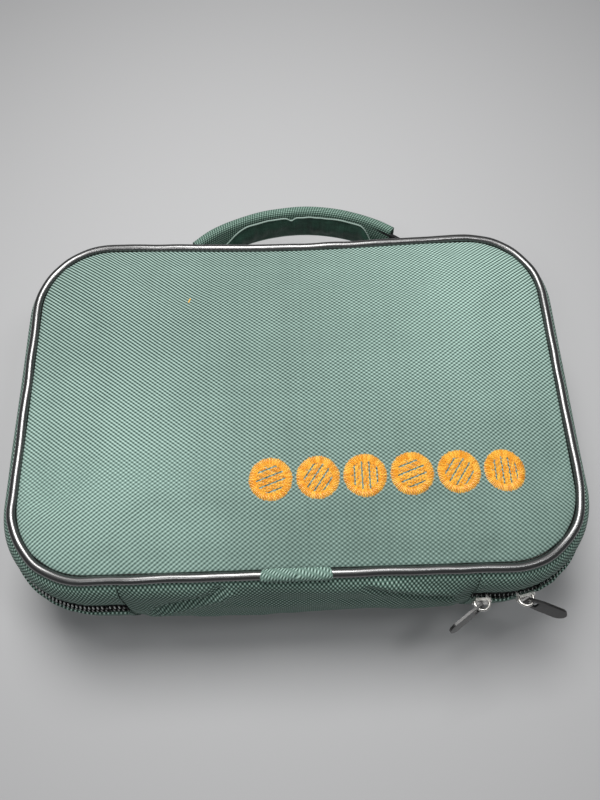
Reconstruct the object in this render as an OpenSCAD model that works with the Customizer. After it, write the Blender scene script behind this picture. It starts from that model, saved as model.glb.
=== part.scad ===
// Zipped carrying case for six boules and a jack, lid closed, lying on its base.
// X runs along the case, -Y is the side of the hinge panel, +Y is the side of the handle, Z is up.
// The origin is the middle of the base, on the surface that the case lies on.

/* [Boules] */
// Diameter of a boule
boule_d = 73; // [71:0.5:76]
// Thickness of the steel of a boule
boule_wall = 6.3; // [3:0.1:8]
// Gap between two boules that lie side by side
boule_gap = 8; // [6:0.5:14]
// Diameter of the jack
jack_d = 30; // [26:0.5:31]
// Width of a groove turned in a boule
groove_w = 1.2; // [0.8:0.1:2]
// Depth of a groove turned in a boule
groove_deep = 0.6; // [0.3:0.1:1]

/* [Case] */
// Room between the end boules and the piping plane, along X
end_room = 2.5; // [2:0.5:20]
// Room between the outer boules and the piping plane, along Y
side_room = 2; // [2:0.5:20]
// Height of the lid's piping above the tops of the boules
head_room = 1.1; // [1:0.1:4]
// Corner radius of the piping, seen from above
corner_r = 33; // [26:1:44]
// How far the walls swell past the piping at half height
bulge = 12; // [9:0.5:18]
// Thickness of the padded wall fabric
wall_t = 1.6; // [1.2:0.1:2]
// Diameter of the piping
piping_d = 4; // [3:0.1:5]

/* [Lid] */
// How far the lid swells above its piping
crown_h = 7.5; // [5:0.5:14]
// Thickness of the lid's woven cover
cover_t = 1; // [0.8:0.1:1.4]
// Thickness of the lid's foam
foam_t = 3; // [2:0.25:3.5]
// Thickness of a lining
lining_t = 0.6; // [0.4:0.1:0.8]

/* [Base] */
// Thickness of the base's outer cover
base_cover_t = 1.2; // [1:0.1:1.6]
// Thickness of the stiff board in the base
board_t = 2; // [1.5:0.1:3]
// Distance from a seam of the hinge panel to the start of the case's corner
seam_in = 13; // [12:0.5:30]

/* [Zip] */
// Depth of the zip below the lid's piping
zip_drop = 22; // [20:0.5:26]
// Width of the gap in the fabric where the zip shows
zip_band = 6.8; // [6.4:0.1:7.4]
// Width of one row of the coil
coil_w = 2.6; // [2.2:0.1:2.7]
// Thickness of the coil
coil_t = 2.6; // [2:0.1:3]
// Width of one zip tape
tape_w = 12.4; // [9:0.2:14]
// Thickness of a zip tape
tape_t = 0.6; // [0.4:0.1:0.8]
// How far the closed stretch of the zip goes into the corner, along X, past the second slider
closed_l = 18; // [17:0.5:21]

/* [Sliders] */
// Length of a slider's body
slider_l = 8; // [7:0.25:8.5]
// Thickness of a slider's plates
slider_plate_t = 1.15; // [0.9:0.05:1.4]
// Wire diameter of a slider's crown
crown_wire_d = 1.4; // [1.1:0.1:1.6]
// Radius of the crown's arch, to the middle of its wire
crown_r = 3.2; // [3:0.1:3.3]
// Length of a pull tab
pull_l = 18.5; // [16:0.5:24]
// Width of a pull tab
pull_w = 7.4; // [6.8:0.1:8]
// Thickness of a pull tab
pull_t = 1.1; // [0.8:0.1:1.2]
// Angle of the second slider round the corner, from the near wall
slider_b_turn = 13.4; // [12:0.2:16]

/* [Handle] */
// Distance from the wall to the handle's outer face
handle_reach = 34.5; // [30:0.5:45]
// Radius of the handle's arch, to its middle
handle_r = 93.3; // [85:0.5:105]
// Half the angle that the padded sleeve spans
handle_turn = 36; // [30:1:38]
// Height of the padded sleeve
handle_h = 20; // [18:0.5:24]
// Thickness of the padded sleeve
handle_t = 7.5; // [6.5:0.25:8]
// Thickness of the sleeve's fabric
sleeve_t = 0.9; // [0.7:0.1:1.1]
// Radius of the padded sleeve's long edges
sleeve_corner_r = 2.6; // [2.2:0.1:3]
// Width of the webbing
webbing_w = 14.5; // [10:0.5:15]
// Thickness of the webbing
webbing_t = 1.8; // [1.4:0.1:2]
// Length of webbing sewn flat on the wall at each end
anchor_l = 14; // [10:0.5:15]

/* [Tray] */
// Thickness of the formed tray
tray_t = 1.2; // [0.8:0.1:1.6]
// Clearance between a boule and its cup
cup_room = 0.8; // [0.4:0.1:1.5]
// Depth of the tray's deck below the middle of the cups
deck_drop = 6.7; // [5:0.1:12]
// Height of the middle of the jack's cup above the tray's deck
jack_lift = 1.8; // [0:0.1:3]

/* [Hidden] */
$fn = 96;

// Gaps: sewn pieces, pieces that move past each other, and the overrun of cuts
sewn = 0.1;
running = 0.3;
cut = 1;

// Boules: three along X and two along Y
boule_r = boule_d / 2;
pitch = boule_d + boule_gap;
row_y = pitch / 2;
places = [for (y = [-row_y, row_y]) for (x = [-pitch, 0, pitch]) [x, y]];
grooves_per_pattern_share = 0.18;
groove_spread = boule_d * grooves_per_pattern_share;

// Heights of the base's layers, of the cups and of the boules in them
piping_r = piping_d / 2;
tab_t = 0.85;
piping_fit = 0.05;
base_piping_z = piping_r + piping_fit + tab_t + sewn;
board_z = base_cover_t + sewn;
tray_z = board_z + board_t + sewn;
cup_r = boule_r + cup_room;
cup_z = tray_z + tray_t + cup_r;
boule_z = cup_z - cup_room + running;
case_h = boule_z + boule_r + head_room;
deck_z = cup_z - deck_drop;
jack_r = jack_d / 2;
jack_cup_r = jack_r + cup_room;
jack_cup_z = deck_z + jack_lift;
jack_z = jack_cup_z - cup_room + running;
jack_x = pitch / 2;

// Outline of the piping, seen from above
half_w = pitch + boule_r + end_room;
half_d = row_y + boule_r + side_room;
run_x = half_w - corner_r;
run_y = half_d - corner_r;

// The wall is an arc in section, from one piping to the other
mid_z = (case_h + base_piping_z) / 2;
half_h = (case_h - base_piping_z) / 2;
wall_r = (half_h * half_h + bulge * bulge) / (2 * bulge);
wall_x = bulge - wall_r;
degree = 180 / PI;
wall_end = (asin(half_h / wall_r)) / degree * wall_r - piping_r - running;

// Places up the wall are lengths along the arc from half height
zip_z = case_h - zip_drop;
zip_tilt = asin((zip_z - mid_z) / wall_r);
zip_at = zip_tilt / degree * wall_r;
band_half = zip_band / 2;
row_gap = 0.6;
coil_in = -wall_t;
coil_out = coil_t - wall_t;
tape_out = -wall_t - running - piping_fit;
tape_in = tape_out - tape_t;
lining_out = tape_in - sewn - piping_fit;
lining_in = lining_out - lining_t;
lining_hem = 7;
lining_top = zip_at - band_half - cut;
lining_bottom = lining_hem - wall_end;
seam_x = run_x - seam_in;
seam_gap = running;
left_closed_l = 8;
closed_to = run_x + closed_l;

// Sliders, in a frame with X out of the wall, Y along the zip and Z up the wall
plate_out = coil_out + running;
plate_face = plate_out + slider_plate_t;
plate_half = band_half - running;
inner_plate = tape_in - 2 * running;
post_t = 0.5;
post_l = 1.2;
pull_out = plate_face + (crown_r - crown_wire_d / 2) / 2;
plate_round_share = 0.55;
slider_a_x = seam_x + seam_gap + slider_l / 2;
pull_droop = 20;
pull_swing = 31;
bar_half = pull_t / 2;
eye_l = crown_r + crown_wire_d / 2 + running;
eye_play = 1.1;
eye_half = crown_wire_d / 2 + eye_play;
eye_rim = 0.7;

// Handle
handle_z = mid_z;
wall_y = half_d + bulge;
arch_y = wall_y + handle_reach - handle_t / 2 - handle_r;
webbing_in = handle_r - handle_t / 2 + sleeve_t + sewn + webbing_t / 2;
wall_gap = running;
anchor_y = wall_y + wall_gap + webbing_t / 2;
anchor_x = run_x - 3 * running;
lining_half_share = 0.32;

// Tray
rim_t = 1;
rim_w = 1.8;
jack_hole_r = jack_cup_r + tray_t + running;
pockets = [for (x = [-jack_x, jack_x]) [x, 0]];
deck_out = 8;
skirt_out = -3.2;

// Piping tab
tab_l = 28;
tab_x = -1;
wall_side_share = 0.6;
panel_side_share = 0.45;

GREEN = [0.40, 0.54, 0.48];
DARK_GREEN = [0.14, 0.28, 0.24];
BLACK = [0.07, 0.07, 0.08];
NICKEL = [0.78, 0.78, 0.80];
STEEL = [0.62, 0.63, 0.66];

// Half length of a side from its middle to its other sides' pipings, and of its straight run
function side_half(n) = n % 2 == 0 ? half_w : half_d;
function side_run(n) = n % 2 == 0 ? run_y : run_x;

// Frames round the case: X out of the wall, Y along it and Z up. Sides are 0 right, 1 far,
// 2 left and 3 near, and corner n follows side n.
module at_side(n, along) {
    rotate([0, 0, 90 * n]) translate([side_half(n), along, 0]) children();
}

module at_corner(n, turn) {
    rotate([0, 0, 90 * n]) translate([side_run(n + 1), side_run(n), 0]) rotate([0, 0, turn])
        translate([corner_r, 0, 0]) children();
}

module side(n, from, to) {
    at_side(n, to) rotate([90, 0, 0]) linear_extrude(to - from) children();
}

module corner(n) {
    rotate([0, 0, 90 * n]) translate([side_run(n + 1), side_run(n), 0])
        rotate_extrude(angle = 90) translate([corner_r, 0]) children();
}

module all_round() {
    for (n = [0 : 3]) {
        side(n, -side_run(n), side_run(n)) children();
        corner(n) children();
    }
}

// From one seam of the hinge panel round to the other
module seam_to_seam() {
    side(3, seam_x + seam_gap, run_x) children();
    side(3, -run_x, -seam_x - seam_gap) children();
    for (n = [0 : 2]) side(n, -side_run(n), side_run(n)) children();
    for (n = [0 : 3]) corner(n) children();
}

// The zip chain where the lid opens, which starts past the closed stretches
module open_chain() {
    difference() {
        union() {
            for (n = [0 : 2]) side(n, -side_run(n), side_run(n)) children();
            for (n = [0 : 3]) corner(n) children();
            side(3, -run_x, -seam_x - seam_gap - left_closed_l - running) children();
        }
        near_right_box(closed_to + running);
    }
}

// The closed stretches of the chain at both seams
module closed_chain() {
    side(3, -seam_x - seam_gap - left_closed_l, -seam_x - seam_gap) children();
    intersection() {
        union() {
            side(3, seam_x + seam_gap, run_x) children();
            corner(3) children();
        }
        near_right_box(closed_to);
    }
}

module near_right_box(to) {
    translate([seam_x - cut, -half_d - 2 * bulge, -cut])
        cube([to - seam_x + cut, half_d + bulge, case_h + 2 * cut]);
}

// Section of a band of the wall: from one skin to another, and between two lengths up the arc
module wall_band(inside, outside, from, to) {
    reach = 2 * wall_r;
    low = from / wall_r * degree;
    high = to / wall_r * degree;
    translate([wall_x, mid_z]) intersection() {
        difference() {
            circle(wall_r + outside);
            circle(wall_r + inside);
        }
        polygon([[0, 0], reach * [cos(low), sin(low)], reach * [cos(high), sin(high)]]);
    }
}

// Rounded rectangle with the case's corners, its edge moved out by a length
module panel(out) {
    r = corner_r + out;
    square([2 * (half_w + out), 2 * run_y], center = true);
    square([2 * run_x, 2 * (half_d + out)], center = true);
    for (x = [-run_x, run_x]) for (y = [-run_y, run_y]) translate([x, y]) circle(r);
}

// Sheet that swells like the lid, as a mesh of rings round the panel's outline
corner_steps = 5;
long_steps = 6;
short_steps = 4;
ring_shares = [1, 0.95, 0.87, 0.75, 0.58, 0.34];
crown_power = 4;

function arc_points(n, r) = [for (i = [0 : corner_steps])
    let(a = 90 * n + 90 * i / corner_steps, s = [[1, 1], [-1, 1], [-1, -1], [1, -1]][n])
    [s.x * run_x + r * cos(a), s.y * run_y + r * sin(a)]];
function between(a, b, steps) = [for (i = [1 : steps - 1]) a + (b - a) * i / steps];
function outline(out) = let(c = [for (n = [0 : 3]) arc_points(n, corner_r + out)])
    [for (n = [0 : 3]) each concat(c[n], between(c[n][corner_steps], c[(n + 1) % 4][0],
        n % 2 == 0 ? long_steps : short_steps))];
function swell(share) = crown_h * (1 - pow(share, crown_power));

module crowned_sheet(edge_z, thick, out) {
    rim = outline(out);
    n = len(rim);
    rings = len(ring_shares);
    skin = [for (k = ring_shares) each [for (p = rim) [p.x * k, p.y * k, edge_z + swell(k)]]];
    top = concat(skin, [[0, 0, edge_z + crown_h]]);
    low = [for (p = top) p - [0, 0, thick]];
    m = len(top);
    quads = [for (k = [0 : rings - 2]) for (i = [0 : n - 1])
        [k * n + i, k * n + (i + 1) % n, (k + 1) * n + (i + 1) % n, (k + 1) * n + i]];
    split = [for (q = quads) each [[q[0], q[1], q[2]], [q[0], q[2], q[3]]]];
    cap = [for (i = [0 : n - 1]) [(rings - 1) * n + i, (rings - 1) * n + (i + 1) % n, m - 1]];
    up = concat(split, cap);
    edge = [for (i = [0 : n - 1]) let(j = (i + 1) % n) each [[i, i + m, j + m], [i, j + m, j]]];
    polyhedron(concat(top, low), concat(
        [for (f = up) [f[2], f[1], f[0]]],
        [for (f = up) [f[0] + m, f[1] + m, f[2] + m]],
        [for (f = edge) [f[2], f[1], f[0]]]));
}

// Lid
cover_out = -piping_r - piping_fit;
cover_edge_z = case_h + cover_t / 2;
foam_edge_z = cover_edge_z - cover_t - sewn;
lining_edge_z = foam_edge_z - foam_t - sewn;

module lid_cover() {
    color(GREEN) crowned_sheet(cover_edge_z, cover_t, cover_out);
}

module lid_foam() {
    color("white") crowned_sheet(foam_edge_z, foam_t, cover_out);
}

module lid_lining() {
    color(BLACK) crowned_sheet(lining_edge_z, lining_t, cover_out);
}

module piping(z) {
    color(BLACK) all_round() translate([0, z]) circle(piping_r);
}

module lid_piping() {
    piping(case_h);
}

// Short sleeve of fabric over the joint in the piping, open where the panel and the wall enter.
// over is how high its inner edge stands, from the piping's middle, as a share of its radius.
module piping_tab(z, over_share) {
    r = piping_r + piping_fit;
    color(GREEN) side(3, tab_x - tab_l / 2, tab_x + tab_l / 2) translate([0, z]) difference() {
        circle(r + tab_t);
        circle(r);
        translate([-2 * r, -2 * r]) square([4 * r, 2 * r - piping_r * wall_side_share]);
        translate([-2 * r, -2 * r]) square([2 * r - piping_r * panel_side_share,
            2 * r + piping_r * over_share]);
    }
}

module lid_piping_tab() {
    piping_tab(case_h, panel_side_share);
}

module base_piping_tab() {
    mirror([0, 0, 1]) piping_tab(-base_piping_z, 2);
}

module lid_gusset() {
    color(GREEN) seam_to_seam() wall_band(-wall_t, 0, zip_at + band_half, wall_end);
}

binding_w = 6.6;
binding_t = 1.4;
binding_lap = 0.25;
binding_out = binding_lap - piping_r;

module lid_seam_binding() {
    top = foam_edge_z - foam_t + sewn;
    color(BLACK) all_round() translate([binding_out, top - binding_w])
        square([binding_t, binding_w]);
}

// Zip
module tape_section(from, to) {
    wall_band(tape_in, tape_out, zip_at + from, zip_at + to);
}

module coil_section(side_up) {
    from = side_up > 0 ? row_gap : -row_gap - coil_w;
    wall_band(coil_in, coil_out, zip_at + from, zip_at + from + coil_w);
}

module lid_zip_tape() {
    color(BLACK) open_chain() tape_section(row_gap, row_gap + tape_w);
}

module lid_zip_coil() {
    color(BLACK) open_chain() coil_section(1);
}

module base_zip_tape() {
    color(BLACK) open_chain() tape_section(-row_gap - tape_w, -row_gap);
}

module base_zip_coil() {
    color(BLACK) open_chain() coil_section(-1);
}

module closed_zip_tape() {
    color(BLACK) for (s = [[row_gap, row_gap + tape_w], [-row_gap - tape_w, -row_gap]])
        closed_chain() tape_section(s[0], s[1]);
}

module closed_zip_coil() {
    color(BLACK) for (up = [1, -1]) closed_chain() coil_section(up);
}

// Puts a slider's own frame on the zip, in the frame of a side or a corner
module on_zip() {
    translate([wall_x, 0, mid_z]) rotate([0, -zip_tilt, 0]) translate([wall_r, 0, 0]) children();
}

module slider_plate(x, thick) {
    translate([x, 0, 0]) rotate([90, 0, 90]) linear_extrude(thick) intersection() {
        square([slider_l, 2 * plate_half], center = true);
        circle(slider_l * plate_round_share);
    }
}

// Two plates joined by the post that parts the rows, and the arched crown
module slider(post_side) {
    slider_plate(plate_out, slider_plate_t);
    slider_plate(inner_plate - slider_plate_t, slider_plate_t);
    translate([inner_plate - slider_plate_t / 2, post_side * (slider_l / 2 - post_l) - post_l / 2,
        -post_t / 2]) cube([plate_face - inner_plate, post_l, post_t]);
    translate([plate_face - sewn, 0, 0]) difference() {
        rotate_extrude() translate([crown_r, 0]) circle(crown_wire_d / 2);
        translate([-2 * crown_r, -2 * crown_r, -crown_wire_d])
            cube([2 * crown_r, 4 * crown_r, 2 * crown_wire_d]);
    }
}

module slider_a() {
    color(NICKEL) at_side(3, slider_a_x) on_zip() slider(1);
}

module slider_b() {
    color(NICKEL) at_corner(3, slider_b_turn) on_zip() slider(-1);
}

// Flat tab with a square eye at its crossbar, along +X from the crossbar's middle
module pull_tab() {
    end_r = pull_w / 2;
    neck = eye_l + 2 * eye_rim;
    head = eye_half + eye_rim;
    translate([0, 0, -pull_t / 2]) linear_extrude(pull_t) difference() {
        union() {
            polygon([[-bar_half, -head], [neck, -end_r], [neck, end_r], [-bar_half, head]]);
            translate([neck, -end_r]) square([pull_l - bar_half - end_r - neck, pull_w]);
            translate([pull_l - bar_half - end_r, 0]) circle(end_r);
        }
        translate([bar_half, -eye_half]) square([eye_l, 2 * eye_half]);
    }
}

// The tab hangs from the crown: along the zip to one side, drooping, and swung off the wall
module hung_pull(way) {
    translate([pull_out, 0, 0]) rotate([-way * pull_droop, 0, 0])
        rotate([0, 0, way * (90 - pull_swing)]) rotate([90, 0, 0]) pull_tab();
}

module pull_tab_a() {
    color(BLACK) at_side(3, slider_a_x) on_zip() hung_pull(-1);
}

module pull_tab_b() {
    color(BLACK) at_corner(3, slider_b_turn) on_zip() hung_pull(1);
}

// Walls and base
module hinge_panel() {
    color(GREEN) side(3, -seam_x, seam_x) wall_band(-wall_t, 0, -wall_end, wall_end);
}

module base_gusset() {
    color(GREEN) seam_to_seam() wall_band(-wall_t, 0, -wall_end, zip_at - band_half);
}

module base_lining() {
    color(BLACK) all_round() wall_band(lining_in, lining_out, lining_bottom, lining_top);
}

module base_piping() {
    piping(base_piping_z);
}

module base_cover() {
    color(DARK_GREEN) linear_extrude(base_cover_t) panel(-piping_r / 2);
}

module base_board() {
    color("dimgray") translate([0, 0, board_z]) linear_extrude(board_t)
        panel(-piping_r - running);
}

// Handle: an arch in the horizontal plane, its section drawn with X out and Y up
module along_arch() {
    translate([0, arch_y, handle_z]) rotate([0, 0, 90 - handle_turn])
        rotate_extrude(angle = 2 * handle_turn) children();
}

module sleeve_section(in) {
    x = handle_t / 2 - sleeve_corner_r;
    y = handle_h / 2 - sleeve_corner_r;
    r = sleeve_corner_r - in;
    translate([handle_r, 0]) {
        square([2 * (x + r), 2 * y], center = true);
        square([2 * x, 2 * (y + r)], center = true);
        for (i = [-x, x]) for (j = [-y, y]) translate([i, j]) circle(r);
    }
}

module handle_sleeve() {
    color(GREEN) along_arch() difference() {
        sleeve_section(0);
        sleeve_section(sleeve_t);
    }
}

module handle_padding() {
    webbing_side = webbing_in + webbing_t / 2 + sewn;
    color("white") along_arch() intersection() {
        sleeve_section(sleeve_t + sewn);
        translate([webbing_side, -handle_h]) square([handle_t, 2 * handle_h]);
    }
}

module handle_lining() {
    face = handle_r - handle_t / 2 - piping_fit - lining_t;
    color(DARK_GREEN) along_arch() translate([face, -handle_h * lining_half_share])
        square([lining_t, 2 * handle_h * lining_half_share]);
}

// Middle line of the webbing from the apex to one end: the arch, a bend, and flat on the wall
tail_steps = 8;
arch_steps = 12;
bend_l = 6;
function arch_point(a) = [webbing_in * sin(a), arch_y + webbing_in * cos(a)];
function bezier(p, t) = pow(1 - t, 3) * p[0] + 3 * t * pow(1 - t, 2) * p[1]
    + 3 * t * t * (1 - t) * p[2] + pow(t, 3) * p[3];
function webbing_half() = let(
    end = arch_point(handle_turn),
    bend = [anchor_x - anchor_l, anchor_y],
    hold = [end, end + bend_l * [cos(handle_turn), -sin(handle_turn)],
        bend - [bend_l, 0], bend])
    concat([for (i = [0 : arch_steps]) arch_point(handle_turn * i / arch_steps)],
        [for (i = [1 : tail_steps]) bezier(hold, i / tail_steps)],
        [[anchor_x, anchor_y]]);
function mirrored(p) = [for (i = [len(p) - 1 : -1 : 1]) [-p[i].x, p[i].y]];
function normal_at(p, i) = let(d = p[min(i + 1, len(p) - 1)] - p[max(i - 1, 0)])
    [-d.y, d.x] / norm(d);

module handle_webbing() {
    line = concat(mirrored(webbing_half()), webbing_half());
    edge = webbing_t / 2;
    n = len(line);
    color(BLACK) translate([0, 0, handle_z - webbing_w / 2]) linear_extrude(webbing_w)
        polygon(concat([for (i = [0 : n - 1]) line[i] + edge * normal_at(line, i)],
            [for (i = [n - 1 : -1 : 0]) line[i] - edge * normal_at(line, i)]));
}

// Formed tray: deck, sloping skirt, six cups for boules and two holes for the jacks' cups
module tray() {
    color(BLACK) difference() {
        union() {
            translate([0, 0, deck_z - tray_t]) linear_extrude(tray_t) panel(deck_out);
            all_round() polygon([[skirt_out, tray_z], [skirt_out + tray_t, tray_z],
                [deck_out, deck_z - tray_t / 2], [deck_out - tray_t, deck_z - tray_t / 2]]);
            intersection() {
                for (p = places) translate([p.x, p.y, cup_z]) sphere(cup_r + tray_t);
                translate([-half_w, -half_d, 0]) cube([2 * half_w, 2 * half_d, deck_z]);
            }
        }
        for (p = places) translate([p.x, p.y, cup_z]) sphere(cup_r);
        for (p = pockets) translate([p.x, p.y, deck_z - tray_t - cut])
            cylinder(r = jack_hole_r, h = tray_t + 2 * cut);
    }
}

// Two cups that drop into the deck and hang by their rims, one for the jack and one spare
module jack_cups() {
    rim_z = deck_z + sewn;
    color(BLACK) for (p = pockets) translate([p.x, p.y, 0]) difference() {
        union() {
            intersection() {
                translate([0, 0, jack_cup_z]) sphere(jack_cup_r + tray_t);
                cylinder(r = half_w, h = rim_z + rim_t);
            }
            translate([0, 0, rim_z]) cylinder(r = jack_hole_r + rim_w, h = rim_t);
        }
        translate([0, 0, jack_cup_z]) sphere(jack_cup_r);
    }
}

// A hollow steel ball with turned grooves, at these heights on these axes
module boule(tilts, heights) {
    color(STEEL) difference() {
        sphere(boule_r);
        sphere(boule_r - boule_wall);
        for (t = tilts) rotate(t) for (h = heights) rotate_extrude()
            translate([sqrt(boule_r * boule_r - h * h) - groove_deep, h - groove_w / 2])
                square([groove_w + groove_deep, groove_w]);
    }
}

// Three patterns, one for each pair of boules
module boule_in_place(i) {
    p = places[i - 1];
    pattern = (i - 1) % 3;
    tilts = [[[20, 30, 0]], [[0, 90, 20], [90, 0, 20]], [[-35, 15, 0]]][pattern];
    heights = [[-groove_spread, 0, groove_spread], [0], [-groove_spread / 2,
        groove_spread / 2]][pattern];
    translate([p.x, p.y, boule_z]) boule(tilts, heights);
}

module jack() {
    color("burlywood") translate([-jack_x, 0, jack_z]) sphere(jack_r);
}

lid_cover();
lid_foam();
lid_lining();
lid_piping();
lid_piping_tab();
lid_gusset();
lid_seam_binding();
lid_zip_tape();
lid_zip_coil();
closed_zip_tape();
closed_zip_coil();
base_zip_tape();
base_zip_coil();
slider_a();
slider_b();
pull_tab_a();
pull_tab_b();
hinge_panel();
base_gusset();
base_lining();
base_piping();
base_piping_tab();
base_cover();
base_board();
handle_webbing();
handle_sleeve();
handle_padding();
handle_lining();
tray();
jack_cups();
jack();
for (i = [1 : 6]) boule_in_place(i);
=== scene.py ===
# %% [markdown]
# # A zipped carrying case for boules
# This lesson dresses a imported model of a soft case: a padded lid, piped edges, a zip with two
# sliders, a webbing handle, and inside it a formed tray with six steel boules and a wooden jack.
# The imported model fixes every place, so the first cell loads it. X runs along the case, the hinge
# panel is on the -Y side, the handle on the +Y side, and Z is up. All lengths are in metres.

# %% Load the fixed frame
import math

import bmesh
import bpy
from mathutils import Matrix, Vector, noise
from mathutils.bvhtree import BVHTree


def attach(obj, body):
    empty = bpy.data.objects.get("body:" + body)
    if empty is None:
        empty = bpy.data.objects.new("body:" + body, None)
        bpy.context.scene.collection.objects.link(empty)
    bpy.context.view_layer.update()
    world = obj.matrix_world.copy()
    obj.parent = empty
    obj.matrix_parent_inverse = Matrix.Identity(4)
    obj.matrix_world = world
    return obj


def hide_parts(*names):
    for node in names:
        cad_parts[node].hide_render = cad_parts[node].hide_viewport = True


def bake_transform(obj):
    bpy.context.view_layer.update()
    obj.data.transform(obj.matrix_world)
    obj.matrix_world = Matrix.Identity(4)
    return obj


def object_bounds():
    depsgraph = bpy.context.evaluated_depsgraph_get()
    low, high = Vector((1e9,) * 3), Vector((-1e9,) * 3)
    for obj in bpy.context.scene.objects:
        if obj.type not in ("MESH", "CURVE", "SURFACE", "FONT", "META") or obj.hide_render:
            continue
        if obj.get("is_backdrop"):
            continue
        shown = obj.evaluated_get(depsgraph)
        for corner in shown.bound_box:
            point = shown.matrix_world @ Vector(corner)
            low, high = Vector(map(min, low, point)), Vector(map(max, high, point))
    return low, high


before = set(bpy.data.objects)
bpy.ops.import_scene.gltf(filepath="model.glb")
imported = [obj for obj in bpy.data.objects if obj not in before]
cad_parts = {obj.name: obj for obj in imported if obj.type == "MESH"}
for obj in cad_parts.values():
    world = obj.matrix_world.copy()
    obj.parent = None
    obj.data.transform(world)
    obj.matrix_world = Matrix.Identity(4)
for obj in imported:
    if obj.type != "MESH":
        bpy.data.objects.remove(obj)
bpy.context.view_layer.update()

# %% [markdown]
# The case is sewn round one outline, a rectangle with round corners, and its wall swells between
# the two pipings as an arc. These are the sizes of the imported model, said once. A place on the
# wall has three numbers: how far along it runs from the middle of the near side, how far it stands
# out of the woven skin, and how far up the arc it is from half height.

# %% Sizes of the case
MM = 0.001
HALF_W, HALF_D, CORNER_R = 120 * MM, 79 * MM, 33 * MM
RUN_X, RUN_Y = HALF_W - CORNER_R, HALF_D - CORNER_R
LID_Z, FOOT_Z = 79 * MM, 3 * MM
BULGE = 12 * MM
PIPING_R = 2 * MM
SEAM_X = 74 * MM
ZIP_DROP = 22 * MM
MID_Z, HALF_H = (LID_Z + FOOT_Z) / 2, (LID_Z - FOOT_Z) / 2
WALL_R = (HALF_H ** 2 + BULGE ** 2) / (2 * BULGE)
TURN_R = CORNER_R + BULGE
QUARTER = TURN_R * math.pi / 2
GIRTH = 4 * (RUN_X + RUN_Y + QUARTER)
ZIP_UP = WALL_R * math.asin((LID_Z - ZIP_DROP - MID_Z) / WALL_R)
WALL_END = WALL_R * math.asin(HALF_H / WALL_R)
print("girth %.1f mm, zip %.1f mm up the wall" % (GIRTH / MM, ZIP_UP / MM))


def on_wall(along, out, up):
    """The point at these three lengths on the wall of the case."""
    angle = up / WALL_R
    reach = CORNER_R + BULGE - WALL_R + (WALL_R + out) * math.cos(angle)
    z = MID_Z + (WALL_R + out) * math.sin(angle)
    along = along % GIRTH
    if along > GIRTH - RUN_X:
        along -= GIRTH
    legs = [(2 * RUN_X, -RUN_X), (2 * RUN_Y, RUN_X + QUARTER),
            (2 * RUN_X, RUN_X + 2 * RUN_Y + 2 * QUARTER),
            (2 * RUN_Y, 3 * RUN_X + 2 * RUN_Y + 3 * QUARTER)]
    for side, (run, start) in enumerate(legs):
        turned = Matrix.Rotation(side * math.pi / 2, 3, "Z")
        half = run / 2
        across = (RUN_Y, RUN_X)[side % 2]
        if along <= start + run:
            return turned @ Vector((along - start - half, -across - reach, z))
        if along <= start + run + QUARTER:
            bend = (along - start - run) / TURN_R
            return turned @ Vector((half + reach * math.sin(bend), -across - reach * math.cos(bend), z))
    raise ValueError("no such place on the wall")


# %% [markdown]
# A used case isn't a perfect rectangle. The handle has pulled the middle of the far edge in a
# little, so every soft piece goes through the same small bend, and stays on its neighbours.

# %% The pull of the handle on the far edge
FAR_PULL = 2.2 * MM


def smooth(x):
    """0 below 0, 1 above 1, and an even curve between."""
    x = min(max(x, 0.0), 1.0)
    return x * x * (3 - 2 * x)


def settle(co):
    """A point of a soft piece after the handle has pulled the far edge in."""
    bow = math.cos(min(abs(co.x) / RUN_X, 1) * math.pi / 2) ** 2
    share = bow * smooth(co.y / HALF_D) * smooth((co.z - 48 * MM) / (28 * MM))
    return Vector((co.x, co.y - FAR_PULL * share, co.z))


# %% [markdown]
# Most pieces of the case are bands: they are cut flat, and sewn round the outline. They are made
# the same way here. A section is drawn once, extruded along a straight line, and then each vertex
# is moved on to the wall. The flat lengths go into a UV map first, so that the weave follows the
# cloth round the corners.

# %% Bands cut flat and wrapped round the case
def is_vert(g):
    return isinstance(g, bmesh.types.BMVert)


def draw(bm, points, closed):
    """A chain of edges through these points."""
    verts = [bm.verts.new(p) for p in points]
    ends = verts[1:] + verts[:1] if closed else verts[1:]
    return [bm.edges.new(pair) for pair in zip(verts, ends)]


def pull(bm, edges, step, times):
    """Extrudes a chain of edges in even steps, and returns the last copy of it."""
    for _ in range(times):
        made = bmesh.ops.extrude_edge_only(bm, edges=edges)["geom"]
        moved = {g for g in made if is_vert(g)}
        bmesh.ops.translate(bm, verts=list(moved), vec=step)
        edges = [g for g in made if isinstance(g, bmesh.types.BMEdge) and all(v in moved for v in g.verts)]
    return edges


def repeat(bm, number, step):
    """Repeats all that a mesh holds along X, until there are this many of it."""
    seed = bm.verts[:] + bm.edges[:] + bm.faces[:]
    for i in range(1, number):
        copied = bmesh.ops.duplicate(bm, geom=seed)["geom"]
        bmesh.ops.translate(bm, verts=[g for g in copied if is_vert(g)], vec=(i * step, 0, 0))


def close_ends(bm, rings):
    """Fills the open ends of a bar."""
    for ring in rings:
        bmesh.ops.edgeloop_fill(bm, edges=ring)


def close_round(bm):
    """Joins the two ends of a band that runs once round the case."""
    bmesh.ops.remove_doubles(bm, verts=bm.verts, dist=0.01 * MM)
    return bm


def ring_section(radius, sides):
    """A circle as (out, up) places."""
    turns = [math.tau * i / sides for i in range(sides)]
    return [(radius * math.cos(a), radius * math.sin(a)) for a in turns]


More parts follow.
